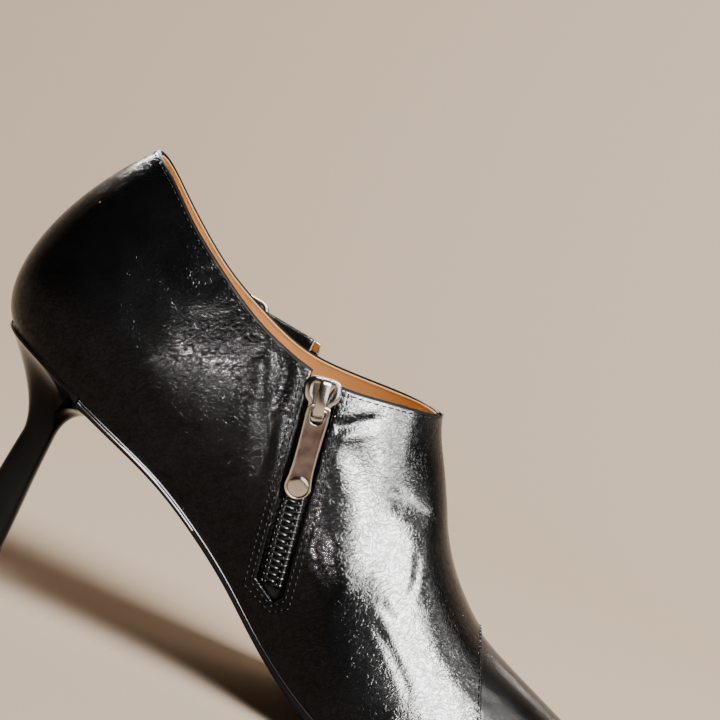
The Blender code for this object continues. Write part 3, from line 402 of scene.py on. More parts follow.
# places and shares of the grid, bent so that its lines follow the zip's window
def skinGrid():
    column, inZone, across, centre = skinPlaces()
    rows = np.concatenate([graded(0, 0.93, 0.0125)[:-1], graded(0.93, 1, 0.0085)])
    place = np.repeat(column[:, None], len(rows), axis=1)
    share = np.repeat(rows[None, :], len(column), axis=0)
    zone = np.flatnonzero(inZone)
    order = np.arange(len(column))
    rearOf, frontOf = order < zone[0], order > zone[-1]

    def followZip():
        place[zone] = placeAcross(share[zone], across[zone][:, None])
        for outside, edge in ((rearOf, zone[0]), (frontOf, zone[-1])):
            weight = 1 - smoothStep(np.abs(column[outside] - column[edge]), 3, 38)
            place[outside] = column[outside, None] + (place[edge] - column[edge])[None, :] * weight[:, None]

    followZip()
    inside = np.flatnonzero(inZone & (np.abs(across) <= zipper["half"] + 1e-6))
    cut = windowCut(across[inside])
    along = zipCoordinates(last.point(place[inside], share[inside]))[0]
    base = int(np.argmin(np.abs(along[len(inside) // 2] - cut.mean())))
    for _ in range(3):
        target = bisect(lambda t: -zipCoordinates(last.point(place[inside, base], t))[0],
                        np.full(len(inside), 0.02), np.full(len(inside), 0.6), -cut)
        shift = np.zeros(len(column))
        shift[inside] = target - rows[base]
        for beside, edge in ((order < inside[0], inside[0]), (order > inside[-1], inside[-1])):
            shift[beside] = shift[edge] * (1 - smoothStep(np.abs(column[beside] - column[edge]), 0, 14))
        gap = np.array([0.0, 0.0012, 0.0035, 0.0075, 0.013])
        bent = rows.copy()
        bent[base - 4:base + 1] = rows[base] - gap[::-1]
        bent[:base - 3] = np.linspace(0, bent[base - 4], base - 3)
        decay = np.where(np.arange(len(rows)) <= base, smoothStep(bent / rows[base], 0.1, 0.95),
                         1 - smoothStep((rows - rows[base]) / (1 - rows[base]), 0, 0.5))
        nearZip = (1 - smoothStep(np.abs(column - centre), 10, 26))[:, None]
        share[:] = rows + (bent - rows) * nearZip + shift[:, None] * decay
        followZip()
    ends, final = place[:, -1], share[:, -1]
    top = last.point(ends, final)
    return {"column": column, "near": fromHeel(column), "inside": inside, "base": base, "top": top,
            "rise": unit(top - last.point(ends, final - 0.01)),
            "points": last.point(place, share), "normals": last.normal(place, share)}


# side, x and z of the first end, the middle and the last end, depth and width in mm
creases = [
    (medial, 99.0, 77.0, 104.5, 74.8, 115.5, 73.4, 0.24, 0.9),
    (medial, 101.0, 74.0, 109.0, 72.4, 121.0, 70.2, 0.36, 1.1),
    (medial, 104.0, 71.4, 111.0, 69.8, 121.0, 67.2, 0.28, 1.0),
    (medial, 102.0, 73.4, 112.0, 70.8, 126.0, 66.2, 0.24, 3.0),
    (medial, 20.0, 106.0, 27.3, 108.0, 34.0, 113.0, 0.22, 0.8),
    (medial, 18.0, 102.0, 27.0, 104.5, 38.0, 112.0, 0.25, 2.6),
    (medial, 55.4, 99.8, 61.3, 93.4, 63.4, 82.0, 0.42, 2.9),
    (medial, 60.5, 88.0, 64.5, 76.0, 67.0, 62.0, 0.26, 2.4),
    (medial, 81.0, 84.5, 85.5, 87.6, 93.5, 93.2, 0.45, 1.7),
    (medial, 85.2, 83.5, 95.2, 75.5, 108.5, 61.0, 0.22, 3.2),
    (medial, 116.7, 62.9, 120.3, 54.7, 120.6, 46.0, 0.16, 1.0),
    (medial, 113.0, 40.0, 123.6, 33.0, 135.0, 23.0, 0.14, 1.1),
    (medial, 116.5, 43.0, 127.1, 36.5, 140.0, 26.5, 0.12, 1.0),
    (medial, 112.5, 45.5, 119.0, 43.0, 128.5, 40.0, 0.14, 1.2),
    (medial, 144.0, 34.2, 151.0, 32.6, 158.5, 31.6, 0.16, 1.1),
    (medial, 90.0, 56.0, 96.1, 48.0, 104.0, 38.0, 0.14, 2.0),
    (medial, 12.0, 95.0, 20.0, 88.0, 32.0, 83.0, 0.20, 3.5),
    (lateral, 100.0, 74.0, 110.0, 71.5, 120.0, 66.0, 0.16, 2.2),
    (lateral, 116.0, 42.0, 126.0, 36.0, 138.0, 26.0, 0.22, 1.4),
    (lateral, 110.0, 48.0, 120.0, 44.0, 130.0, 36.5, 0.18, 1.4),
    (lateral, 60.0, 72.0, 72.0, 62.0, 82.0, 46.0, 0.30, 3.6),
    (lateral, 24.0, 92.0, 34.0, 80.0, 40.0, 64.0, 0.30, 4.0),
]


def creaseDepth(points):
    depth = np.zeros(points.shape[:-1])
    for side, ax, az, mx, mz, bx, bz, deep, wide in creases:
        t = np.linspace(0, 1, 25)[:, None]
        a, b = np.array([ax, az]), np.array([bx, bz])
        c = 2 * np.array([mx, mz]) - (a + b) / 2
        line = (1 - t) ** 2 * a + 2 * (1 - t) * t * c + t * t * b
        flat = points[..., [0, 2]]
        box = np.sign(points[..., 1]) == side
        for axis in range(2):
            low, high = line[:, axis].min() - 5 * wide, line[:, axis].max() + 5 * wide
            box &= (flat[..., axis] > low) & (flat[..., axis] < high)
        spots = flat[box]
        if not len(spots):
            continue
        gaps = np.linalg.norm(spots[:, None, :] - line[None], axis=2)
        nearest = gaps.argmin(axis=1)
        d, along = gaps.min(axis=1), nearest / (len(t) - 1)
        fade = smoothStep(along, 0, 0.25) * (1 - smoothStep(along, 0.75, 1))
        trough = np.exp(-(d / wide) ** 2) - 0.45 * np.exp(-((d - 1.9 * wide) / wide) ** 2)
        depth[box] += deep * fade * trough
    return depth


def meshFrom(name, points, faces, smooth=True):
    mesh = bpy.data.meshes.new(name)
    mesh.from_pydata((np.asarray(points) * mm).tolist(), [], [list(map(int, f)) for f in faces])
    mesh.validate()
    if smooth:
        mesh.shade_smooth()
    return mesh


def addPiece(name, mesh, materials, body="bootie", replaces=()):
    piece = bpy.data.objects.new(name, mesh)
    bpy.context.scene.collection.objects.link(piece)
    for each in materials:
        mesh.materials.append(each)
    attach(piece, body)
    if replaces:
        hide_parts(*replaces)
    return piece


# several shapes as one, their faces counted on
def joined(parts):
    points, faces, base = [], [], 0
    for made, new in parts:
        points.append(np.asarray(made))
        faces += [tuple(base + v for v in face) for face in new]
        base += len(made)
    return np.vstack(points), faces


# faces between rings of as many points each, with the corners in the order asked
def ringQuads(rings, sides, closed=False, order=(0, 1, 2, 3)):
    faces = []
    for k in range(rings if closed else rings - 1):
        here, there = k * sides, (k + 1) % rings * sides
        for i in range(sides):
            j = (i + 1) % sides
            corners = here + i, here + j, there + j, there + i
            faces.append(tuple(corners[at] for at in order))
    return faces


def gridQuads(count, rings, keep=None, closed=True):
    faces = []
    for i in range(count if closed else count - 1):
        ahead = (i + 1) % count
        for j in range(rings - 1):
            if keep is None or keep(i, j):
                faces.append((i * rings + j, ahead * rings + j, ahead * rings + j + 1, i * rings + j + 1))
    return faces


# how proud the leather stands: the quarter laps over the toe piece with a rounded raw edge
def quarterStep(place):
    d = seamPlace - fromHeel(place)
    rounded = np.sqrt(np.clip(1 - (1 - np.clip(d / 0.45, 0, 1)) ** 2, 0, 1))
    return shoe["quarterStep"] * np.where(d > 0, 0.25 + 0.75 * rounded, 0.0)


def leatherMesh(grid):
    column, near, inside, base = (grid[key] for key in ("column", "near", "inside", "base"))
    points, normals, top, rise = (grid[key] for key in ("points", "normals", "top", "rise"))
    count = len(column)
    along, across = zipCoordinates(points)
    rear, front = zipper["between"]
    onZip = (points[..., 1] < 0) & (points[..., 0] > rear) & (points[..., 0] < front)
    d = np.where(onZip, np.clip(windowDistance(along, across), 0, None), 9.0)
    turned = 1 - np.clip(d / zipper["edgeRadius"], 0, 1)
    offset = quarterStep(column)[:, None] - zipper["edgeTurn"] * (1 - np.sqrt(np.clip(1 - turned ** 2, 0, 1)))
    inner, outer = (np.exp(-((d - row) / zipper["grooveWidth"]) ** 2) for row in zipper["rows"])
    offset = offset - zipper["grooveDepth"] * (outer + inner) * (d < 4) - creaseDepth(points)
    skin = points + normals * offset[..., None]
    foot = skin[:, :1].copy()
    foot[:, 0, 2] = soleHeight(foot[:, 0, 0]) - 0.1
    rolls = []
    for turn in np.radians(collar["rollTurns"]):  # over the collar's edge and down inside
        inward = offset[:, -1] - collar["leather"] / 2 * (1 - math.cos(turn))
        rolls.append(top + normals[:, -1] * inward[:, None] + rise * (math.sin(turn) * collar["rollRise"]))
    sunk = (offset[:, -1] - collar["leather"])[:, None]
    rolls.append(top + normals[:, -1] * sunk - rise * collar["foldDown"])
    whole = np.concatenate([foot, skin, np.stack(rolls, axis=1)], axis=1)
    rings = whole.shape[1]
    bodyRings = 1 + skin.shape[1]
    hole = set(inside[:-1])

    def keep(i, j):
        if j >= bodyRings - 1 and not (near[i] <= throatPlace and near[(i + 1) % count] <= throatPlace + 0.1):
            return False
        return not (i in hole and j - 1 >= base)

    faces = gridQuads(count, rings, keep)
    rim = [inside[0] * rings + j + 1 for j in range(skin.shape[1] - 1, base - 1, -1)]
    rim += [i * rings + base + 1 for i in inside[1:]]
    rim += [inside[-1] * rings + j + 1 for j in range(base + 1, skin.shape[1])]
    flat = whole.reshape(-1, 3)
    deep = (points - normals * shoe["wall"]).reshape(-1, 3)
    gridRings = points.shape[1]
    lowered = []
    for vertex in rim:
        i, j = divmod(vertex, rings)
        lowered.append(deep[i * gridRings + min(j - 1, gridRings - 1)])
    start = len(flat)
    flat = np.vstack([flat, lowered])
    faces += [(rim[k + 1], rim[k], start + k, start + k + 1) for k in range(len(rim) - 1)]
    mesh = meshFrom("quarters", flat, faces)
    corners = [list(p.vertices) for p in mesh.polygons]
    onGrid = np.array([max(each) < start for each in corners])
    toeward = np.array([near[each[0] // rings % count] > seamPlace - 0.05 and each[0] < start
                        and near[each[1] // rings % count] > seamPlace - 0.05 for each in corners])
    level = np.array([min(v % rings for v in each) for each in corners])
    # 0 the quarter, 1 the toe piece, 2 the collar's edge
    part = np.where(onGrid & (level >= bodyRings - 1), 2, toeward.astype(int))
    mesh.polygons.foreach_set("material_index", part.astype(np.int32))
    uv = mesh.uv_layers.new(name="shoe")
    lengths = arcLengths(whole[count // 8])
    loops = np.array([loop.vertex_index for loop in mesh.loops])
    u = np.where(loops < start, np.append(column, 0)[np.minimum(loops // rings, count)], 0)
    v = np.where(loops < start, lengths[np.minimum(loops % rings, rings - 1)], 0)
    uv.data.foreach_set("uv", (np.column_stack([u, v]) * mm * 10).ravel())
    return mesh


# lip: inward and up from the wall's inner face at the collar
lining = {
    "lap": 0.12,
    "fromThroat": 3,
    "clear": 0.5,
    "sunk": 0.6,
    "lip": ((-0.12, 0.15), (0.1, 0.45), (0.5, 0.5), (0.8, -0.2)),
}


def liningMesh(grid, leather):
    near, inside, base = (grid[key] for key in ("near", "inside", "base"))
    points, normals, rise = (grid[key] for key in ("points", "normals", "rise"))
    inner = points - normals * (shoe["wall"] - lining["lap"])
    skin = BVHTree.FromPolygons([Vector(v.co) / mm for v in leather.vertices],
                                [list(p.vertices) for p in leather.polygons])
    for i in np.nonzero(near > throatPlace + lining["fromThroat"])[0]:  # kept inside the narrow toe
        for j in range(inner.shape[1]):
            spot, out = skin.find_nearest(Vector(inner[i, j]))[:2]
            if (Vector(inner[i, j]) - spot).dot(out) > -lining["clear"]:
                inner[i, j] = spot - out * lining["sunk"]
    foot = inner[:, :1].copy()
    foot[:, 0, 2] = soleHeight(foot[:, 0, 0])
    onCollar = (near <= throatPlace)[:, None]
    lip = [inner[:, -1] + np.where(onCollar, normals[:, -1] * inward + rise * up, 0)
           for inward, up in lining["lip"]]
    whole = np.concatenate([foot, inner, np.stack(lip, axis=1)], axis=1)
    rings = whole.shape[1]
    hole = set(inside[:-1])
    faces = gridQuads(len(near), rings, lambda i, j: not (i in hole and j - 1 >= base))
    return meshFrom("lining", whole.reshape(-1, 3), [f[::-1] for f in faces])


def newMaterial(name):
    made = bpy.data.materials.new(name)
    made.use_nodes = True
    return made, made.node_tree, made.node_tree.nodes["Principled BSDF"].inputs


def node(tree, kind, inputs=None, **settings):
    made = tree.nodes.new(kind)
    for key, value in settings.items():
        setattr(made, key, value)
    for key, value in (inputs or {}).items():
        made.inputs[key].default_value = value
    return made


def noise(tree, vector, scale, detail):
    made = node(tree, "ShaderNodeTexNoise", {"Scale": scale, "Detail": detail})
    tree.links.new(vector, made.inputs["Vector"])
    return made.outputs


def ramp(tree, source, stops):
    made = tree.nodes.new("ShaderNodeValToRGB")
    elements = made.color_ramp.elements
    while len(elements) < len(stops):
        elements.new(0.5)
    for element, (position, value) in zip(elements, stops):
        element.position = position
        element.color = value
    tree.links.new(source, made.inputs["Fac"])
    return made.outputs["Color"]


def grey(value):
    return (value, value, value, 1)


# a bump of a depth in mm over what lies below it
def bumped(tree, source, depth, below=None):
    made = node(tree, "ShaderNodeBump", {"Strength": 1.0, "Distance": depth * mm})
    tree.links.new(source, made.inputs["Height"])
    if below is not None:
        tree.links.new(below, made.inputs["Normal"])
    return made.outputs["Normal"]


# black waxed leather: a fine net of crackle over soft pull-up folds
def leatherMaterial(name, look):
    made, tree, shader = newMaterial(name)
    join = tree.links.new
    place = node(tree, "ShaderNodeTexCoord").outputs["Object"]
    turned = node(tree, "ShaderNodeMapping", {"Rotation": (0, math.radians(look["turn"]), 0)})
    drawn = node(tree, "ShaderNodeMapping", {"Scale": (look["stretch"], 1, 1)})
    join(place, turned.inputs["Vector"])
    join(turned.outputs["Vector"], drawn.inputs["Vector"])
    mixed = node(tree, "ShaderNodeMix", data_type="VECTOR")
    mixed.inputs["Factor"].default_value = look["warp"]
    join(drawn.outputs["Vector"], mixed.inputs["A"])
    join(noise(tree, place, look["warpScale"], 3.0)["Color"], mixed.inputs["B"])
    height, cracks = None, None
    for kind, scale, depth, low, high in look["layers"]:
        wrinkle = kind == "wrinkle"
        texture = noise(tree, mixed.outputs["Result"], scale, 1.0 if wrinkle else 3.0)
        stops = [(low, grey(0)), (high, grey(1))]
        if wrinkle:  # meandering lines where the noise crosses its middle
            stops = [(low, grey(1)), (0.5, grey(0)), (high, grey(1))]
        shaped = ramp(tree, texture["Fac"], stops)
        height = bumped(tree, shaped, depth, height)
        if wrinkle and cracks is not None:
            both = node(tree, "ShaderNodeMath", operation="MULTIPLY")
            join(cracks, both.inputs[0])
            join(shaped, both.inputs[1])
            cracks = both.outputs["Value"]
        elif wrinkle:
            cracks = shaped
    join(height, shader["Normal"])
    wear = noise(tree, place, look["wear"], 4.0)["Fac"]
    rough, shine = ([grey(value) for value in look[key]] for key in ("rough", "specular"))
    join(ramp(tree, wear, [(0.3, rough[0]), (0.7, rough[1])]), shader["Roughness"])
    join(ramp(tree, wear, [(0.3, look["dark"]), (0.75, look["light"])]), shader["Base Color"])
    join(ramp(tree, cracks, [(0.0, shine[0]), (1.0, shine[1])]), shader["Specular IOR Level"])
    return made


quarterLook = {
    "turn": 38.0,
    "warp": 0.006,
    "warpScale": 110.0,
    "wear": 55.0,
    "stretch": 0.6,
    "layers": [
        ("noise", 26.0, 0.12, 0.3, 0.7),
        ("wrinkle", 400.0, 0.016, 0.45, 0.55),
        ("wrinkle", 850.0, 0.020, 0.44, 0.56),
        ("wrinkle", 1500.0, 0.008, 0.42, 0.58),
    ],
    "rough": (0.13, 0.19),
    "dark": grey(0.0001),
    "light": (0.0002, 0.0002, 0.00022, 1),
    "specular": (0.06, 0.14),
}
toeLook = dict(quarterLook)
toeLook.update({
    "layers": [("noise", 18.0, 0.12, 0.3, 0.7), ("wrinkle", 900.0, 0.010, 0.42, 0.58)],
    "rough": (0.17, 0.24),
    "specular": (0.08, 0.11),
})


# a finish with grain in two sizes, a little wear in the roughness and a soft tone change
def plainMaterial(name, look):
    made, tree, shader = newMaterial(name)
    place = node(tree, "ShaderNodeTexCoord").outputs["Object"]
    fine = noise(tree, place, look.get("grain", 900.0), 4.0)["Fac"]
    wide = noise(tree, place, look.get("patch", 40.0), 3.0)["Fac"]
    tree.links.new(bumped(tree, fine, look.get("depth", 0.02)), shader["Normal"])
    low, high = look["rough"]
    for stops, key in (((look["dark"], look["light"]), "Base Color"), ((grey(low), grey(high)), "Roughness")):
        tree.links.new(ramp(tree, wide, list(zip((0.3, 0.7), stops))), shader[key])
    shader["Metallic"].default_value = look.get("metal", 0.0)
    shader["Coat Weight"].default_value = look.get("coat", 0.0)
    shader["Coat Roughness"].default_value = 0.05
    shader["Specular IOR Level"].default_value = look.get("specular", 0.5)
    return made


quarterLeather = leatherMaterial("quarterLeather", quarterLook)
toeLeather = leatherMaterial("toeLeather", toeLook)
black, softBlack, deepBlack = grey(0.0002), grey(0.0004), grey(0.0003)
finishes = {
    "liningTan": {"dark": (0.60, 0.335, 0.125, 1), "light": (0.74, 0.43, 0.17, 1), "rough": (0.5, 0.62),
                  "grain": 1400.0, "depth": 0.03, "specular": 0.1},
    "soleBlack": {"dark": deepBlack, "light": grey(0.0006), "rough": (0.16, 0.24), "coat": 0.02,
                  "specular": 0.05},
    "heelGloss": {"dark": black, "light": softBlack, "rough": (0.08, 0.12), "coat": 0.03, "depth": 0.003,
                  "specular": 0.06},
    "liftRubber": {"dark": black, "light": softBlack, "rough": (0.5, 0.62), "depth": 0.05, "specular": 0.02},
    "nickel": {"dark": (0.50, 0.47, 0.44, 1), "light": (0.60, 0.57, 0.54, 1), "rough": (0.10, 0.18),
               "metal": 1.0, "depth": 0.006, "grain": 700.0},
    # brushed field of the pull tab: the dark brownish base colour is a painted reflection, far darker than
    # the nickel itself
    "brushedNickelPaintedReflection": {"dark": (0.16, 0.115, 0.10, 1), "light": (0.30, 0.25, 0.23, 1), "rough": (0.24, 0.34),
                      "metal": 1.0, "depth": 0.02, "grain": 2200.0, "patch": 240.0},
    "tapeBlack": {"dark": black, "light": grey(0.0005), "rough": (0.6, 0.75), "grain": 2600.0, "depth": 0.08,
                  "specular": 0.06},
    "teethBlack": {"dark": deepBlack, "light": grey(0.0006), "rough": (0.24, 0.34), "depth": 0.01,
                   "specular": 0.1},
    "threadBlack": {"dark": black, "light": grey(0.0005), "rough": (0.34, 0.46), "grain": 3500.0,
                    "depth": 0.05, "specular": 0.02},
    "edgeBlack": {"dark": black, "light": (0.0006, 0.0005, 0.0005, 1), "rough": (0.4, 0.55), "grain": 1800.0,
                  "depth": 0.04, "specular": 0.012},
}
finish = {name: plainMaterial(name, look) for name, look in finishes.items()}

leatherGrid = skinGrid()
leather = leatherMesh(leatherGrid)
addPiece("quarters", leather, [quarterLeather, toeLeather, finish["edgeBlack"]],
         replaces=["upper"])
addPiece("lining", liningMesh(leatherGrid, leather), [finish["liningTan"]],
         replaces=["upper"])
print("upper made,", len(leather.polygons), "faces")


# place and share on the leather for a spot in the zip's own side view
def zipToShoe(along, across):
    along, across = np.asarray(along, float), np.asarray(across, float)
    share = np.clip(1 - along / zipper["wallDown"], 0.02, 1.0)
    for _ in range(14):
        place = placeAcross(share, across, 22)
        now = zipCoordinates(last.point(place, share))[0]
        share = np.clip(share + (now - along) / zipper["shareStep"], 0.005, 1.0)
    return place, share


# points on the finished leather and their outward directions
def leatherSpot(place, share):
    normals = last.normal(place, share)
    points = last.point(place, share)
    lift = quarterStep(place) - creaseDepth(points)
    return points + normals * np.asarray(lift)[:, None], normals


# threads laid end to end on a path of points and normals, each dipping into the leather at its ends
def stitchRow(path, look):
    points, normals = path
    lengths = arcLengths(points)
    count = max(1, int(lengths[-1] / look["pitch"]))
    pitch = lengths[-1] / count
    # place along the thread, share of its radius, height over the leather
    profile = np.array([(-0.5, 0.45, -0.22), (-0.4, 0.85, 0.02), (0.0, 1.0, 0.1), (0.4, 0.85, 0.02),
                        (0.5, 0.45, -0.22)])
    sides = 6
    rings = len(profile)
    turns = [2 * math.pi * side / sides for side in range(sides)]
    quads = ringQuads(rings, sides)
    quads += [tuple(range(sides)), tuple(range((rings - 1) * sides, rings * sides))[::-1]]
    threads = []
    for k in range(count):
        spots = (k + 0.5 + profile[:, 0] * look["fill"]) * pitch
        line = sampled(spots, lengths, points)
        out = unit(sampled(spots, lengths, normals))
        over = unit(np.cross(out, unit(line[-1] - line[0])))
        line = line + out * profile[:, 2:3] + over * (profile[:, 0:1] * look["slant"])
        made = [at + (side * math.cos(a) + rise * math.sin(a)) * look["radius"] * size
                for at, side, rise, size in zip(line, over, out, profile[:, 1]) for a in turns]
        threads.append((made, quads))
    return joined(threads)


def threadPiece(name, rows, look):
    points, faces = joined([stitchRow(path, look) for path in rows])
    addPiece(name, meshFrom(name, points, faces), [finish["threadBlack"]])


stitches = {
    "collar": {"pitch": 2.3, "fill": 0.74, "slant": 0.12, "radius": 0.22, "down": 0.8},
    "zip": {"pitch": 2.0, "fill": 0.74, "slant": 0.12, "radius": 0.26},
    "seam": {"pitch": 2.2, "fill": 0.72, "slant": 0.1, "radius": 0.25, "behind": 1.3},
    "strap": {"pitch": 2.2, "fill": 0.72, "slant": 0.1, "radius": 0.25, "inset": 1.4},
    "tape": {"pitch": 2.0, "fill": 0.5, "slant": 0.35, "radius": 0.16},
}


# down the rear side of the window, round its foot and up the front side
def zipRow(distance):
    half, foot = zipper["half"] + distance, distance * 1.08
    rear, front = zipper["cutRear"] + foot * 0.9, zipper["cutFront"] + foot * 1.1
    middle = zipper["cutMiddle"] + foot
    line = np.array([(2.4, -half), (rear, -half), (middle, zipper["half"] * 0.5), (front, half), (2.4, half)])
    steps = arcLengths(line)
    return leatherSpot(*zipToShoe(*sampled(np.linspace(0, steps[-1], 220), steps, line).T))


# below the collar: from the zip round the heel, over the far side and the front, back to the zip
def collarRow(down):
    reach = zipper["half"] + zipper["rows"][1] + 0.6
    rear, front = (float(zipToShoe([2.0], [across])[0][0]) for across in (-reach, reach))
    ridge = np.linspace(throatPlace, throatPlace + 14, 60)
    drop = np.linalg.norm(last.point(ridge, np.ones(60)) - last.point(ridge[:1], np.ones(1)), axis=1)
    past = float(np.interp(down, drop, ridge)) - throatPlace
    track = np.concatenate([np.linspace(rear, 0.2, 220),
                            np.linspace(around - 0.2, around - throatPlace - past, 420),
                            np.linspace(throatPlace + past, front, 90)])
    near = fromHeel(track)
    under = last.point(track, np.full_like(track, 0.97))
    slope = np.linalg.norm(last.point(track, np.ones_like(track)) - under, axis=1)
    blend = np.clip((near - (throatPlace - 6)) / (6 + past), 0, 1) ** 2
    share = 1 - down * 0.03 / slope * (1 - blend)
    return leatherSpot(track, share)


def seamRow(behind):
    share = np.linspace(0.02, 1, 120)
    first = np.full(120, seamPlace - behind)
    a, b = leatherSpot(first, share), leatherSpot(around - first[::-1], share[::-1])
    return [(a[0][:-1], a[1][:-1]), (b[0][1:], b[1][1:])]


threadPiece("collarStitches", [collarRow(stitches["collar"]["down"])], stitches["collar"])
threadPiece("zipStitches", [zipRow(d) for d in zipper["rows"]], stitches["zip"])
threadPiece("seamStitches", seamRow(stitches["seam"]["behind"]), stitches["seam"])
print("stitches made")


# zip: tape, two rows of coiled teeth, slider and pull
# a point on the wall's inner face by the zip, raised outwards
def zipSpot(along, across, height=0.0):
    along, across = np.broadcast_arrays(np.asarray(along, float), np.asarray(across, float))
    place, share = zipToShoe(along.ravel(), across.ravel())
    points, normals = last.point(place, share), last.normal(place, share)
    raised = points + normals * (np.broadcast_to(height, along.shape).ravel() - shoe["wall"])[:, None]
    return raised.reshape(*along.shape, 3), normals.reshape(*along.shape, 3)


# the zip's middle line with its down, over and out directions, for placing teeth and slider
class ZipLine:
    def __init__(self):
        at = np.linspace(-4, 72, 60)
        middle = zipSpot(np.clip(at, 1, 69), np.zeros(60))[0]
        self.fit = [np.polyfit(at[4:-3], middle[4:-3, axis], 4) for axis in range(3)]
        self.knots = np.array([4.0, 34.0, 66.0])
        self.normals = zipSpot(self.knots, np.zeros(3))[1]

    def spot(self, along, across=0.0, height=0.0):
        middle = np.array([np.polyval(f, along) for f in self.fit])
        down = unit(np.array([np.polyval(f, along + 0.5) - np.polyval(f, along - 0.5) for f in self.fit]))
        out = unit(np.array([np.interp(along, self.knots, self.normals[:, axis]) for axis in range(3)]))
        out = unit(out - down * out.dot(down))
        over = unit(np.cross(out, down))
        if over[0] < 0:
            over = -over
        return middle + over * across + out * height, down, over, out


zipLine = ZipLine()


# a tube of the radius given at each point, with round ends of one ring
def tube(path, radius, sides=8, up=(0, -1, 0)):
    path = np.asarray(path, float)
    radius = np.broadcast_to(radius, len(path))
    ahead = unit(np.gradient(path, axis=0))
    over = unit(np.cross(ahead, np.asarray(up, float)))
    top = np.cross(over, ahead)
    turns = [2 * math.pi * side / sides for side in range(sides)]
    points = [centre + (over[k] * math.cos(a) + top[k] * math.sin(a)) * radius[k]
              for k, centre in enumerate(path) for a in turns]
    faces = ringQuads(len(path), sides)
    faces += [tuple(range(sides))[::-1], tuple(range((len(path) - 1) * sides, len(path) * sides))]
    return np.array(points), faces


chain = {
    "start": 12.6,
    "end": 62.6,
    "pitch": 2.0,
    "radius": 0.43,
    "cord": 0.75,
    "cordAt": (2.35, 0.55),
    "threads": (2.75, 1.75),
    "threadOut": 1.72,
    "tapeHalf": 7.0,
    "tapeEnds": (1.5, 67),
    "tapeFaces": (-0.35, -1.1),
}
# one turn of the coil: down the zip, away from its middle and out
coil = np.array([(-0.1, 3.15, 0.45), (-0.1, 3.0, 1.05), (-0.05, 2.6, 1.42), (0.05, 1.9, 1.52),
                 (0.2, 1.0, 1.55), (0.35, 0.2, 1.5), (0.45, -0.35, 1.3), (0.5, -0.62, 0.95),
                 (0.5, -0.45, 0.55)])


def coilTeeth(side, shift):
    parts = []
    place = chain["start"] + shift
    while place < chain["end"]:
        middle, down, over, out = zipLine.spot(place)
        path = [middle + down * a + over * c * side + out * h for a, c, h in coil]
        parts.append(tube(path, chain["radius"] * np.array([0.7] + [1] * 7 + [0.7]), up=down))
        place += chain["pitch"]
    across, out = chain["cordAt"]
    cord = [zipLine.spot(a, side * across, out)[0] for a in np.linspace(chain["start"] - 1, chain["end"], 40)]
    parts.append(tube(cord, chain["cord"], 6))
    for across in chain["threads"]:
        line = [zipLine.spot(a, side * across, chain["threadOut"])
                for a in np.linspace(chain["start"] - 1, chain["end"], 60)]
        path = (np.array([each[0] for each in line]), np.array([each[3] for each in line]))
        parts.append(stitchRow(path, stitches["tape"]))
    return joined(parts)


def tapeStrip():
    along = np.linspace(*chain["tapeEnds"], 60)
    across = np.linspace(-chain["tapeHalf"], chain["tapeHalf"], 21)
    a, c = np.meshgrid(along, across, indexing="ij")
    front, back = (zipSpot(a, c, height)[0].reshape(-1, 3) for height in chain["tapeFaces"])
    faces = gridQuads(len(along), len(across), closed=False)
    return meshFrom("zipTape", *joined([(front, faces), (back, [f[::-1] for f in faces])]))


teethRows = (("rearTeeth", -1, 0.0, "zip_teeth_rear"), ("frontTeeth", 1, 1.0, "zip_teeth_front"))
for name, side, shift, cad in teethRows:
    addPiece(name, meshFrom(name, *coilTeeth(side, shift)), [finish["teethBlack"]],
             replaces=[cad])
addPiece("zipTape", tapeStrip(), [finish["tapeBlack"]], replaces=["zip_tape"])


def inset(outline, amount):
    outline = np.asarray(outline, float)
    ahead = unit(np.roll(outline, -1, axis=0) - np.roll(outline, 1, axis=0))
    return outline + np.column_stack([-ahead[:, 1], ahead[:, 0]]) * amount


# a closed smooth outline through a few corners, anticlockwise
def curvedOutline(corners, count=72):
    corners = np.asarray(corners, float)
    closed = np.vstack([corners, corners[:1]])
    knots = np.concatenate([[0], np.cumsum(np.linalg.norm(np.diff(closed, axis=0), axis=1) ** 0.6)])
    at = np.linspace(0, knots[-1], count, endpoint=False)
    return np.column_stack([ringSpline(knots, closed[:, axis], at) for axis in range(2)])


# rings of an outline: each level moves it in and sets its height
def plate(outline, levels):
    count = len(outline)
    rings = [np.column_stack([inset(outline, amount), np.full(count, height)]) for amount, height in levels]
    faces = ringQuads(len(levels), count)
    faces += [tuple(range(count))[::-1], tuple(range((len(levels) - 1) * count, len(levels) * count))]
    return np.vstack(rings), faces


def placed(points, origin, x, y, z):
    points = np.asarray(points, float)
    return origin + points[:, :1] * x + points[:, 1:2] * y + points[:, 2:] * z


# outline, plate and bridge of the slider: half widths, then levels, then the bridge seen from the side
slider = {
    "at": 6.8,
    "out": 0.9 + 1.5,
    "half": [(-6.4, 2.2), (-5.9, 4.2), (-3.6, 5.2), (-1.2, 5.1), (0.6, 4.3), (1.3, 3.5), (3.4, 3.3),
             (6.0, 3.0)],
    "levels": [(0.3, 0.0), (0.0, 0.35), (0.0, 0.9), (0.15, 1.25), (0.5, 1.5), (1.0, 1.65), (1.6, 1.7),
               (2.0, 1.55)],
    "bridge": [(-5.9, 1.2), (-5.85, 2.8), (-5.3, 4.1), (-4.2, 4.9), (-2.4, 5.2), (0.2, 5.2), (2.4, 4.95),
               (3.9, 4.2), (4.7, 3.0), (4.8, 1.3)],
    "bridgeHalf": 1.45,
    "bridgeThick": 0.5,
}


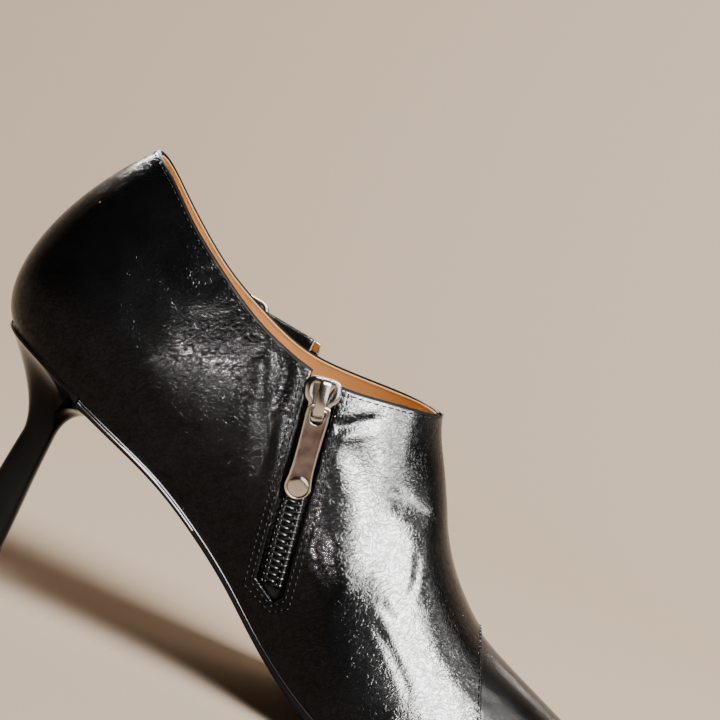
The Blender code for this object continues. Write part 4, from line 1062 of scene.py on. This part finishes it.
def sliderPiece():
    half = slider["half"]
    outline = curvedOutline([(x, y) for x, y in half][::-1] + [(x, -y) for x, y in half], 96)
    if np.cross(outline[1] - outline[0], outline[2] - outline[1]) < 0:
        outline = outline[::-1]
    path = np.array(slider["bridge"])
    fine = np.linspace(0, len(path) - 1, 40)
    path = np.column_stack([naturalSpline(np.arange(len(path)), path[:, axis], fine) for axis in range(2)])
    ahead = unit(np.gradient(path, axis=0))
    out = np.column_stack([-ahead[:, 1], ahead[:, 0]])
    turns = np.linspace(0, 2 * math.pi, 20, endpoint=False)
    square = (np.abs(np.cos(turns)) ** 4 + np.abs(np.sin(turns)) ** 4) ** -0.25
    points = []
    for k in range(len(path)):
        wide = slider["bridgeHalf"] * (0.92 + 0.14 * math.sin(math.pi * k / (len(path) - 1)))
        for a, q in zip(turns, square):
            high = path[k] + out[k] * q * math.sin(a) * slider["bridgeThick"]
            points.append((high[0], q * math.cos(a) * wide, high[1]))
    points, faces = joined([plate(outline, slider["levels"]), (points, ringQuads(len(path), len(turns)))])
    middle, down, over, outward = zipLine.spot(slider["at"])
    return meshFrom("slider", placed(points, middle + outward * slider["out"], down, over, outward), faces)


# from the hinge to the tab's end, all in mm; the eye goes round the bridge
tab = {
    "length": 27.0,
    "end": 3.85,
    "half": 0.45,
    "side": [(20.15, 3.42), (17.0, 3.22), (12.0, 3.2), (7.0, 3.3), (3.0, 3.42), (0.5, 3.35), (-0.45, 2.9),
             (-0.6, 2.2)],
    "eye": [(0.75, -1.75), (3.6, -1.8), (4.7, -0.9), (4.7, 0.9), (3.6, 1.8), (0.75, 1.75), (0.6, 0.0)],
    "rim": [(0.22, -0.45), (0.0, -0.23), (0.0, 0.29), (0.18, 0.45), (0.42, 0.45), (0.55, 0.33), (0.8, 0.29)],
    "eyeRim": [(-0.16, 0.45), (0.0, 0.33), (0.0, -0.33), (-0.12, -0.45)],
    "pad": 2.9,
    "padLevels": [(0.0, 0.05), (0.0, 0.37), (0.15, 0.45), (1.2, 0.5), (2.3, 0.52)],
    "count": 160,
}


# the tab: a rim round a dished field, an eye round the bridge, and a round pad at its end
def pullPiece():
    joint = frame["joints"][0]
    hinge, axis = np.array(joint["pos_m"]) * 1000, unit(np.array(joint["axis"]))
    offset = np.array([v.co for v in frame["nodes"]["zip_pull"].data.vertices]) * 1000 - hinge
    offset = offset - np.outer(offset @ axis, axis)
    ahead = unit(offset[np.linalg.norm(offset, axis=1) > 18].mean(axis=0))
    over = -axis
    out = unit(np.cross(ahead, over))
    if out[1] > 0:
        out = -out
    length, end, side, count, half = (tab[key] for key in ("length", "end", "side", "count", "half"))
    outline = [(length - end + end * math.cos(a), end * math.sin(a))
               for a in np.radians(np.linspace(-100, 100, 30))]
    outline = np.array(outline + side + [(x, -y) for x, y in side[::-1]] + outline[:1])
    steps = arcLengths(outline)
    outline = sampled(np.linspace(0, steps[-1], count, endpoint=False), steps, outline)
    eye = curvedOutline(tab["eye"], count)

    def startingNear(loop, x):
        return np.roll(loop, -int(np.argmin(np.linalg.norm(loop - [x, 0.0], axis=1))), axis=0)

    def turning(loop):
        ahead = np.roll(loop, -1, axis=0)
        return np.sign(np.sum(loop[:, 0] * ahead[:, 1] - loop[:, 1] * ahead[:, 0]))

    eye, outline = startingNear(eye, 0.6), startingNear(outline, -0.6)
    if turning(eye) * turning(outline) < 0:
        eye = np.roll(eye[::-1], 1, axis=0)
    inward = turning(outline)
    rings = [(inset(outline, amount * inward), height) for amount, height in tab["rim"]]
    rings += [(inset(eye, -0.35 * turning(eye)), half - 0.16)]
    rings += [(inset(eye, amount * inward), height) for amount, height in tab["eyeRim"]]
    points = np.vstack([np.column_stack([flat, np.full(count, height)]) for flat, height in rings])
    pad = curvedOutline([(length - end + tab["pad"] * math.cos(a), tab["pad"] * math.sin(a))
                         for a in np.linspace(0, 2 * math.pi, 12, endpoint=False)], 60)
    frameFaces = ringQuads(len(rings), count, closed=True)
    points, faces = joined([(points, frameFaces), plate(pad, tab["padLevels"])])
    mesh = meshFrom("pullTab", placed(points, hinge, ahead, over, out), faces)
    for polygon in list(mesh.polygons)[5 * count:7 * count]:  # the brushed field inside the rim, its dark brownish colour a painted reflection
        polygon.material_index = 1
    return mesh


nickel = finish["nickel"]
addPiece("slider", sliderPiece(), [nickel], replaces=["zip_slider"])
addPiece("pullTab", pullPiece(), [nickel, finish["brushedNickelPaintedReflection"]], body="pull",
         replaces=["zip_pull"])
for metal in ("slider", "pullTab"):
    bpy.data.objects[metal].data.set_sharp_from_angle(angle=math.radians(40))
print("zip made")


# sole, heel and sock
def featherOutline(outset, start=None, count=200):
    near = np.linspace(0, noseTip, count)
    sides = []
    for side in (medial, lateral):
        line = last.controls(near if side == medial else around - near)[0][:, :2]
        along = np.gradient(line, axis=0)
        along[0], along[-1] = (0, side), (0, -side)
        out = np.stack([-along[:, 1], along[:, 0]], axis=1) * side
        moved = line + unit(out) * outset
        if start is not None:
            first = int(np.argmax(line[:, 0] > start))
            part = (start - moved[first - 1, 0]) / (moved[first, 0] - moved[first - 1, 0])
            moved = np.vstack([moved[first - 1] + part * (moved[first] - moved[first - 1]), moved[first:]])
        sides.append(moved)
    return sides


# a plate between the two sides' outlines; each level moves it in and stands at a rise from a surface
def platePiece(name, outlines, levels):
    inner, outer = outlines
    closed = np.allclose(inner[0], outer[0])
    loop = np.vstack([inner, outer[-2:0 if closed else None:-1]])
    count = len(loop)
    along = np.roll(loop, -1, axis=0) - np.roll(loop, 1, axis=0)
    inward = unit(np.stack([-along[:, 1], along[:, 0]], axis=1))
    points = []
    for amount, surface, rise in levels:
        moved = loop + inward * amount
        points.extend(np.column_stack([moved, surface(moved[:, 0]) + rise]))
    faces = ringQuads(len(levels), count, order=(0, 3, 2, 1))
    final = count if closed else count - 1
    for base, turn in ((0, 1), ((len(levels) - 1) * count, -1)):
        for i in range(count // 2):
            corners = list(dict.fromkeys([i, i + 1, (final - i - 1) % count, (final - i) % count]))
            if len(corners) > 2:
                faces.append(tuple(base + corner for corner in corners)[::turn])
    mesh = meshFrom(name, np.array(points), faces)
    mesh.set_sharp_from_angle(angle=math.radians(50))
    return mesh


def soleTop(x):
    return soleHeight(x) - shoe["gap"]


def soleFoot(x):
    return soleTop(x) - soleThickness(x)


# moved in, from which surface, rise
soleLevels = [(1.6, soleTop, 0), (0.5, soleTop, 0), (0.15, soleTop, -0.1), (0.0, soleTop, -0.35),
              (0.0, soleTop, -0.6), (0.16, soleTop, -0.72), (0.16, soleTop, -0.86), (0.02, soleTop, -0.98),
              (0.0, soleFoot, 0.8), (0.12, soleFoot, 0.4), (0.4, soleFoot, 0.12), (1.0, soleFoot, 0),
              (2.2, soleFoot, 0)]
sockLevels = [(2.4, soleHeight, 2.05), (1.0, soleHeight, 2.0), (0.35, soleHeight, 1.85),
              (0.0, soleHeight, 1.4), (0.0, soleHeight, 0)]
soleOutlines = featherOutline(shoe["soleLedge"] + shoe["quarterStep"], shoe["soleRear"])
addPiece("outsole", platePiece("outsole", soleOutlines, soleLevels), [finish["soleBlack"]],
         replaces=["outsole"])
sockOutlines = featherOutline(-(shoe["wall"] + 0.35))
addPiece("insole", platePiece("insole", sockOutlines, sockLevels), [finish["liningTan"]],
         replaces=["insole"])

heel = {
    "z": (6.8, 16, 29, 42.5),
    "back": (-6.2, -4.9, -3.5, -1.9),
    "front": (6.5, 6.9, 7.0, 7.4),
    "half": (6.2, 5.5, 4.9, 4.6),
    "middle": 3.0,
    "square": 2.7,
    "flareAngle": (0, 50, 90, 180),
    "rise": (11.5, 11.0, 10.0, 8.5),
    "inward": (15.0, 11.0, 9.5, 6.6),
    "lift": (8.6, 1.0, -3.4, -7.6),
    "lipX": (12, 14, 18, 24, 29, 30.5),
    "lipHalf": (24.2, 21.5, 16.5, 11.5, 6.0, 0.0),
    "seatEdge": 1.0,
    "lipEdge": 0.5,
    "lipStraight": 0.75,
    "rimRise": 0.35,
    "rimOut": 0.1,
    "rimTall": 0.4,
}


def heelPiece():
    angles = np.linspace(0, 180, 61)
    turn = np.radians(angles)
    power = heel["square"]
    square = (np.abs(np.cos(turn)) ** power + np.abs(np.sin(turn)) ** power) ** (-1 / power)
    halves = []
    for z in np.linspace(heel["z"][0], heel["z"][-1], 20):
        back, front, half = (float(naturalSpline(heel["z"], heel[key], [z])[0])
                             for key in ("back", "front", "half"))
        x = (back + front) / 2 + (front - back) / 2 * square * np.cos(turn)
        halves.append(np.column_stack([x, -half * square * np.sin(turn), np.full(len(turn), z)]))
    seat = featherOutline(shoe["quarterStep"])[0]
    seat = seat[seat[:, 0] < heel["lipX"][0]]
    lipX = np.linspace(heel["lipX"][0], heel["lipX"][-1], 60)
    part = (lipX - lipX[0]) / (lipX[-1] - lipX[0])
    lipHalf = heel["lipStraight"] * np.interp(lipX, heel["lipX"], heel["lipHalf"])
    lipHalf += (1 - heel["lipStraight"]) * np.sqrt(np.clip(1 - part ** 2.2, 0, 1)) * heel["lipHalf"][0]
    edge = np.vstack([seat, np.column_stack([lipX, -lipHalf])])
    at = np.degrees(np.arctan2(-edge[:, 1], edge[:, 0] - heel["middle"]))
    order = np.argsort(at)
    x, y = np.interp(angles, at[order], edge[order, 0]), np.interp(angles, at[order], edge[order, 1])
    onLip = smoothStep(x, 8, 15)
    top = soleTop(x)
    under = top - heel["seatEdge"]
    low = under + (top - soleThickness(x) - shoe["gap"] - heel["lipEdge"] - under) * onLip
    rim = np.column_stack([x, y, low])
    rise, inward, lift = (np.interp(angles, heel["flareAngle"], heel[key])
                          for key in ("rise", "inward", "lift"))
    out = unit(rim[:, :2] - [heel["middle"], 0])
    start = halves[-1]
    first = start + np.column_stack([np.zeros((len(turn), 2)), rise])
    second = rim + np.column_stack([-out * inward[:, None], lift])
    for t in np.linspace(0, 1, 34)[1:]:
        near, far = 3 * (1 - t) ** 2 * t * first, 3 * (1 - t) * t * t * second
        halves.append((1 - t) ** 3 * start + near + far + t ** 3 * rim)
    halves.append(np.column_stack([np.column_stack([x, y]) + out * heel["rimOut"], low + heel["rimRise"]]))
    halves.append(np.column_stack([x, y, np.maximum(top, low + heel["rimTall"])]))
    count = 2 * (len(turn) - 1)
    points = []
    for half in halves:
        half[[0, -1], 1] = 0.0
        points.extend(np.vstack([half, half[-2:0:-1] * [1, -1, 1]]))
    faces = ringQuads(len(halves), count, order=(1, 0, 3, 2)) + [tuple(range(count))]
    base = (len(halves) - 1) * count
    for i in range(count // 2):
        corners = [base + i, base + i + 1, base + (count - i - 1) % count, base + (count - i) % count]
        faces.append(tuple(dict.fromkeys(corners))[::-1])
    mesh = meshFrom("heel", np.array(points), faces)
    mesh.set_sharp_from_angle(angle=math.radians(55))
    return mesh


addPiece("heel", heelPiece(), [finish["heelGloss"]], replaces=["heel"])
lift = frame["nodes"]["heel_tip"]
lift.data.materials.clear()
lift.data.materials.append(finish["liftRubber"])
print("sole and heel made")


# strap, buckle and metal tip on the far side
strap = {
    "start": 2.0,
    "end": 64.4,
    "half": 5.7,
    "edge": 0.5,
    "low": 0.5,
    "high": 2.3,
    "slope": -0.10,
    "middle": (41.0, 96.6),
    "buckleLength": 15.0,
    "buckleWidth": 15.4,
    "bar": 1.8,
    "corner": 2.4,
    "endThin": 0.25,
    "endNarrow": 0.06,
}


# where the strap lies on the far wall, and its directions there
class StrapLine:
    def __init__(self):
        body = bmesh.new()
        body.from_mesh(frame["nodes"]["upper"].data)
        self.tree = BVHTree.FromBMesh(body)
        body.free()
        xs = np.linspace(strap["start"] - 2, strap["end"] + 5, 14)
        self.fits = {}
        for rise in (-strap["half"], 0, strap["half"]):
            spots = np.array([self.onWall(x, rise) for x in xs])
            self.fits[rise] = np.polyfit(xs, spots[:, 1], 4), np.polyfit(xs, spots[:, 2], 2)

    def outside(self, x, z):
        return np.array(self.tree.ray_cast(Vector((x, 90, z)) * mm, Vector((0, -1, 0)))[0]) / mm

    def onWall(self, x, rise):
        z = strap["middle"][1] + strap["slope"] * (x - strap["middle"][0]) + rise
        edge = float(naturalSpline(collarLine["x"], collarLine["lateral"], [x])[0]) - 1.2
        if z <= edge:
            return self.outside(x, z)
        high, low = self.outside(x, edge), self.outside(x, edge - 6)
        return high + (high - low) / (high[2] - low[2]) * (z - edge)

    def place(self, x, rise):
        part = rise / strap["half"]
        low, middle, high = (np.array([np.polyval(self.fits[key][0], x), np.polyval(self.fits[key][1], x)])
                             for key in (-strap["half"], 0, strap["half"]))
        y, z = middle + part * (high - low) / 2 + part ** 2 * ((high + low) / 2 - middle)
        return np.array([x, y, z])

    def axes(self, x, rise=0.0):
        ahead = unit(self.place(x + 1, rise) - self.place(x - 1, rise))
        up = unit(self.place(x, rise + 1) - self.place(x, rise - 1))
        out = unit(np.cross(up, ahead))
        return ahead, up, out if out[1] > 0 else -out


strapLine = StrapLine()


# a strip with rounded edges between two places in X
def band(start, end, low, high, steps, point=0.0):
    half, edge = strap["half"], strap["edge"]
    middle = (low + high) / 2
    section = []
    for side, height in ((1, high), (-1, low)):
        section += [(side * rise, height) for rise in np.linspace(-half + edge, half - edge, 11)]
        section += [(side * (half - edge + edge * math.sin(a)), middle + side * (high - middle) * math.cos(a))
                    for a in np.radians((25, 50, 75, 105, 130, 155))]
    points = []
    for k, x in enumerate(np.linspace(start, end, steps)):
        for rise, height in section:
            shift = point * (abs(rise) / half) ** 2 * (k / (steps - 1)) ** 6
            rim = strap["endThin"] if k in (0, steps - 1) else 0.0
            tall = middle + (height - middle) * (1 - rim)
            spot = strapLine.place(x - shift, rise * (1 - rim * strap["endNarrow"]))
            points.append(spot + strapLine.axes(x, rise)[2] * tall)
    sides = len(section)
    faces = ringQuads(steps, sides)
    for base in (0, (steps - 1) * sides):
        for i in range(sides // 2 - 1):
            faces.append((base + i, base + i + 1, base + sides - 2 - i, base + sides - 1 - i))
    return np.array(points), faces


low, high = strap["low"], strap["high"]
addPiece("strap", meshFrom("strap", *band(strap["start"], strap["end"], low, high, 70)), [quarterLeather],
         replaces=["strap"])
tip = band(strap["end"] + 0.3, strap["end"] + 3.2, low, high + 0.2, 8, 1.0)
addPiece("strapTip", meshFrom("strapTip", *tip), [nickel], replaces=["strap_tip"])
strapRows = []
for rise in (stitches["strap"]["inset"] - strap["half"], strap["half"] - stitches["strap"]["inset"]):
    at = np.linspace(strap["start"] + 2, strap["end"] - 1, 90)
    out = np.array([strapLine.axes(x, rise)[2] for x in at])
    strapRows.append((np.array([strapLine.place(x, rise) for x in at]) + out * strap["high"], out))
threadPiece("strapStitches", strapRows, stitches["strap"])

ahead, up, outward = strapLine.axes(strap["middle"][0])
buckleMiddle = strapLine.place(strap["middle"][0], 0) + outward * (strap["high"] + 0.3 + strap["bar"] / 2)


# a round wire bent to a frame with round corners
def buckleShape():
    corner = strap["corner"]
    reachX, reachY = ((strap[key] - strap["bar"]) / 2 - corner for key in ("buckleLength", "buckleWidth"))
    wire = []
    for turn, sx, sy in ((0, 1, 1), (90, -1, 1), (180, -1, -1), (270, 1, -1)):
        wire += [(sx * reachX + corner * math.cos(a), sy * reachY + corner * math.sin(a))
                 for a in np.radians(np.linspace(turn, turn + 90, 10))]
    wire = np.array(wire)
    along = np.roll(wire, -1, axis=0) - np.roll(wire, 1, axis=0)
    normal = unit(np.column_stack([along[:, 1], -along[:, 0]]))
    turns = np.linspace(0, 2 * math.pi, 18, endpoint=False)
    half = strap["bar"] / 2
    points = [(x + nx * (half * math.cos(a)), y + ny * (half * math.cos(a)), half * math.sin(a))
              for (x, y), (nx, ny) in zip(wire, normal) for a in turns]
    return points, ringQuads(len(wire), len(turns), closed=True)


# from over the rear bar to the front bar, over the strap
def prongShape():
    reach = (strap["buckleLength"] - strap["bar"]) / 2
    path = [(-reach - 0.6, 0, 1.75), (-reach, 0, 1.95), (-reach / 2, 0, 1.75), (0, 0, 1.72),
            (reach * 0.6, 0, 1.8), (reach, 0, 1.88), (reach + 0.8, 0, 1.8)]
    return tube(path, np.array([0.5, 0.85, 0.75, 0.66, 0.6, 0.55, 0.3]), 14, up=(0, 0, 1))


fasteners = (("buckle", buckleShape(), "buckle_frame"), ("prong", prongShape(), "buckle_prong"))
for name, (points, faces), cad in fasteners:
    mesh = meshFrom(name, placed(points, buckleMiddle, ahead, up, outward), faces)
    addPiece(name, mesh, [nickel], replaces=[cad])
print("strap and buckle made")


# stage and light
# floor and wall in one sweep, pale and plain
def backdrop(look):
    line = [(-look["front"], 0.0), (look["bend"], 0.0)]
    line += [(look["bend"] + look["radius"] * math.sin(a), look["radius"] * (1 - math.cos(a)))
             for a in np.radians(np.linspace(0, 90, 19)[1:])]
    line.append((line[-1][0], look["height"]))
    points = [(x, y, z) for x in (-look["half"], look["half"]) for y, z in line]
    mesh = meshFrom("backdrop", points, gridQuads(2, len(line), closed=False))
    made = bpy.data.objects.new("backdrop", mesh)
    bpy.context.scene.collection.objects.link(made)
    paint, _, shader = newMaterial("backdropPaint")
    shader["Base Color"].default_value = look["colour"]
    shader["Roughness"].default_value = 0.95
    shader["Specular IOR Level"].default_value = 0.1
    mesh.materials.append(paint)
    made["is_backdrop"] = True


backdrop({
    "front": 3000.0,
    "bend": 500.0,
    "radius": 500.0,
    "height": 3500.0,
    "half": 3500.0,
    "colour": (0.60, 0.485, 0.375, 1),
})


# a lit panel that faces the shoe, at an azimuth from the camera's side towards the toe
def softbox(name, look):
    if look["beam"]:  # a lamp whose soft beam covers only a small round of the shoe
        reach, soft = look["beam"]
        data = bpy.data.lights.new(name, "SPOT")
        data.spot_size, data.spot_blend = 2 * math.atan(reach / look["distance"]), 1.0
        data.shadow_soft_size = soft * mm
    else:
        data = bpy.data.lights.new(name, "AREA")
        data.shape = "RECTANGLE"
        data.size, data.size_y = look["size"][0] * mm, look["size"][1] * mm
    data.energy, data.color = look["power"], look["colour"]
    lamp = bpy.data.objects.new(name, data)
    azimuth, elevation = math.radians(look["azimuth"]), math.radians(look["elevation"])
    towards = Vector((math.sin(azimuth) * math.cos(elevation), -math.cos(azimuth) * math.cos(elevation),
                      math.sin(elevation)))
    start = Vector(look["from"]) * mm
    lamp.location = start + towards * look["distance"] * mm
    aim = Vector(look.get("aim", look["from"])) * mm
    lamp.rotation_euler = (aim - lamp.location).to_track_quat("-Z", "Y").to_euler()
    bpy.context.scene.collection.objects.link(lamp)
    lamp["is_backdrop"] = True
    return lamp


daylight, lampGlow, wallGlow = (1.0, 0.985, 0.965), (1.0, 0.97, 0.94), (1.0, 0.965, 0.92)
# size: a panel's width and height. beam: the reach and softness of a spot
lightFields = "name on from azimuth elevation distance power size beam colour".split()
vamp, quarter, far = (105, -25, 65), (50.5, -28, 88), (60, 30, 80)
lightRows = [
    ("windowLight", "leather", vamp, 33, 30, 1500, 850, (800, 1050), None, daylight),
    ("windowVeil", "leather", vamp, 33, 25, 1600, 420, (960, 1400), None, daylight),
    ("sideLight", "leather", (105, -20, 80), 66, 15, 1500, 150, (900, 480), None, daylight),
    ("quarterSpot", "leather", quarter, 1, -5, 600, 150, None, (7, 22), daylight),
    ("zipSpot", "leather", (67, -28, 88), 1, -4, 600, 10, None, (4, 15), daylight),
    ("frontSpot", "leather", (84.5, -28, 72), -4, -4, 600, 260, None, (7, 26), daylight),
    ("metalLight", "metal", (80, -30, 90), 38, 25, 1500, 16, (1500, 1300), None, daylight),
    ("wallLight", None, (400, 300, 200), 30, 60, 1300, 52, (1800, 700), None, wallGlow),
    ("farLight", "leather", far, 205, 35, 900, 70, (500, 500), None, lampGlow),
    ("farSpot", "leather", (112, 32, 48), 155, 35, 700, 70, None, (26, 90), lampGlow),
    ("farMetalLight", "metal", far, 205, 35, 900, 4, (700, 500), None, lampGlow),
]
lights = {row[0]: dict(zip(lightFields, row)) for row in lightRows}
lights["wallLight"]["aim"] = (380, 1000, 250)
lit = {kind: bpy.data.collections.new(kind + "Pieces") for kind in ("leather", "metal")}
metalNames = ("slider", "pullTab", "buckle", "prong", "strapTip", "lining", "insole")
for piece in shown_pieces():
    lit["metal" if piece.name in metalNames else "leather"].objects.link(piece)
for name, look in lights.items():
    lamp = softbox(name, look)
    if look["on"]:  # the black leather takes a stronger light than the rest of the scene
        lamp.light_linking.receiver_collection = lit[look["on"]]
world = bpy.data.worlds.new("room")
world.use_nodes = True
background = world.node_tree.nodes["Background"].inputs
background["Color"].default_value = (0.62, 0.55, 0.48, 1)
background["Strength"].default_value = 0.03
bpy.context.scene.world = world
print("stage and light set")
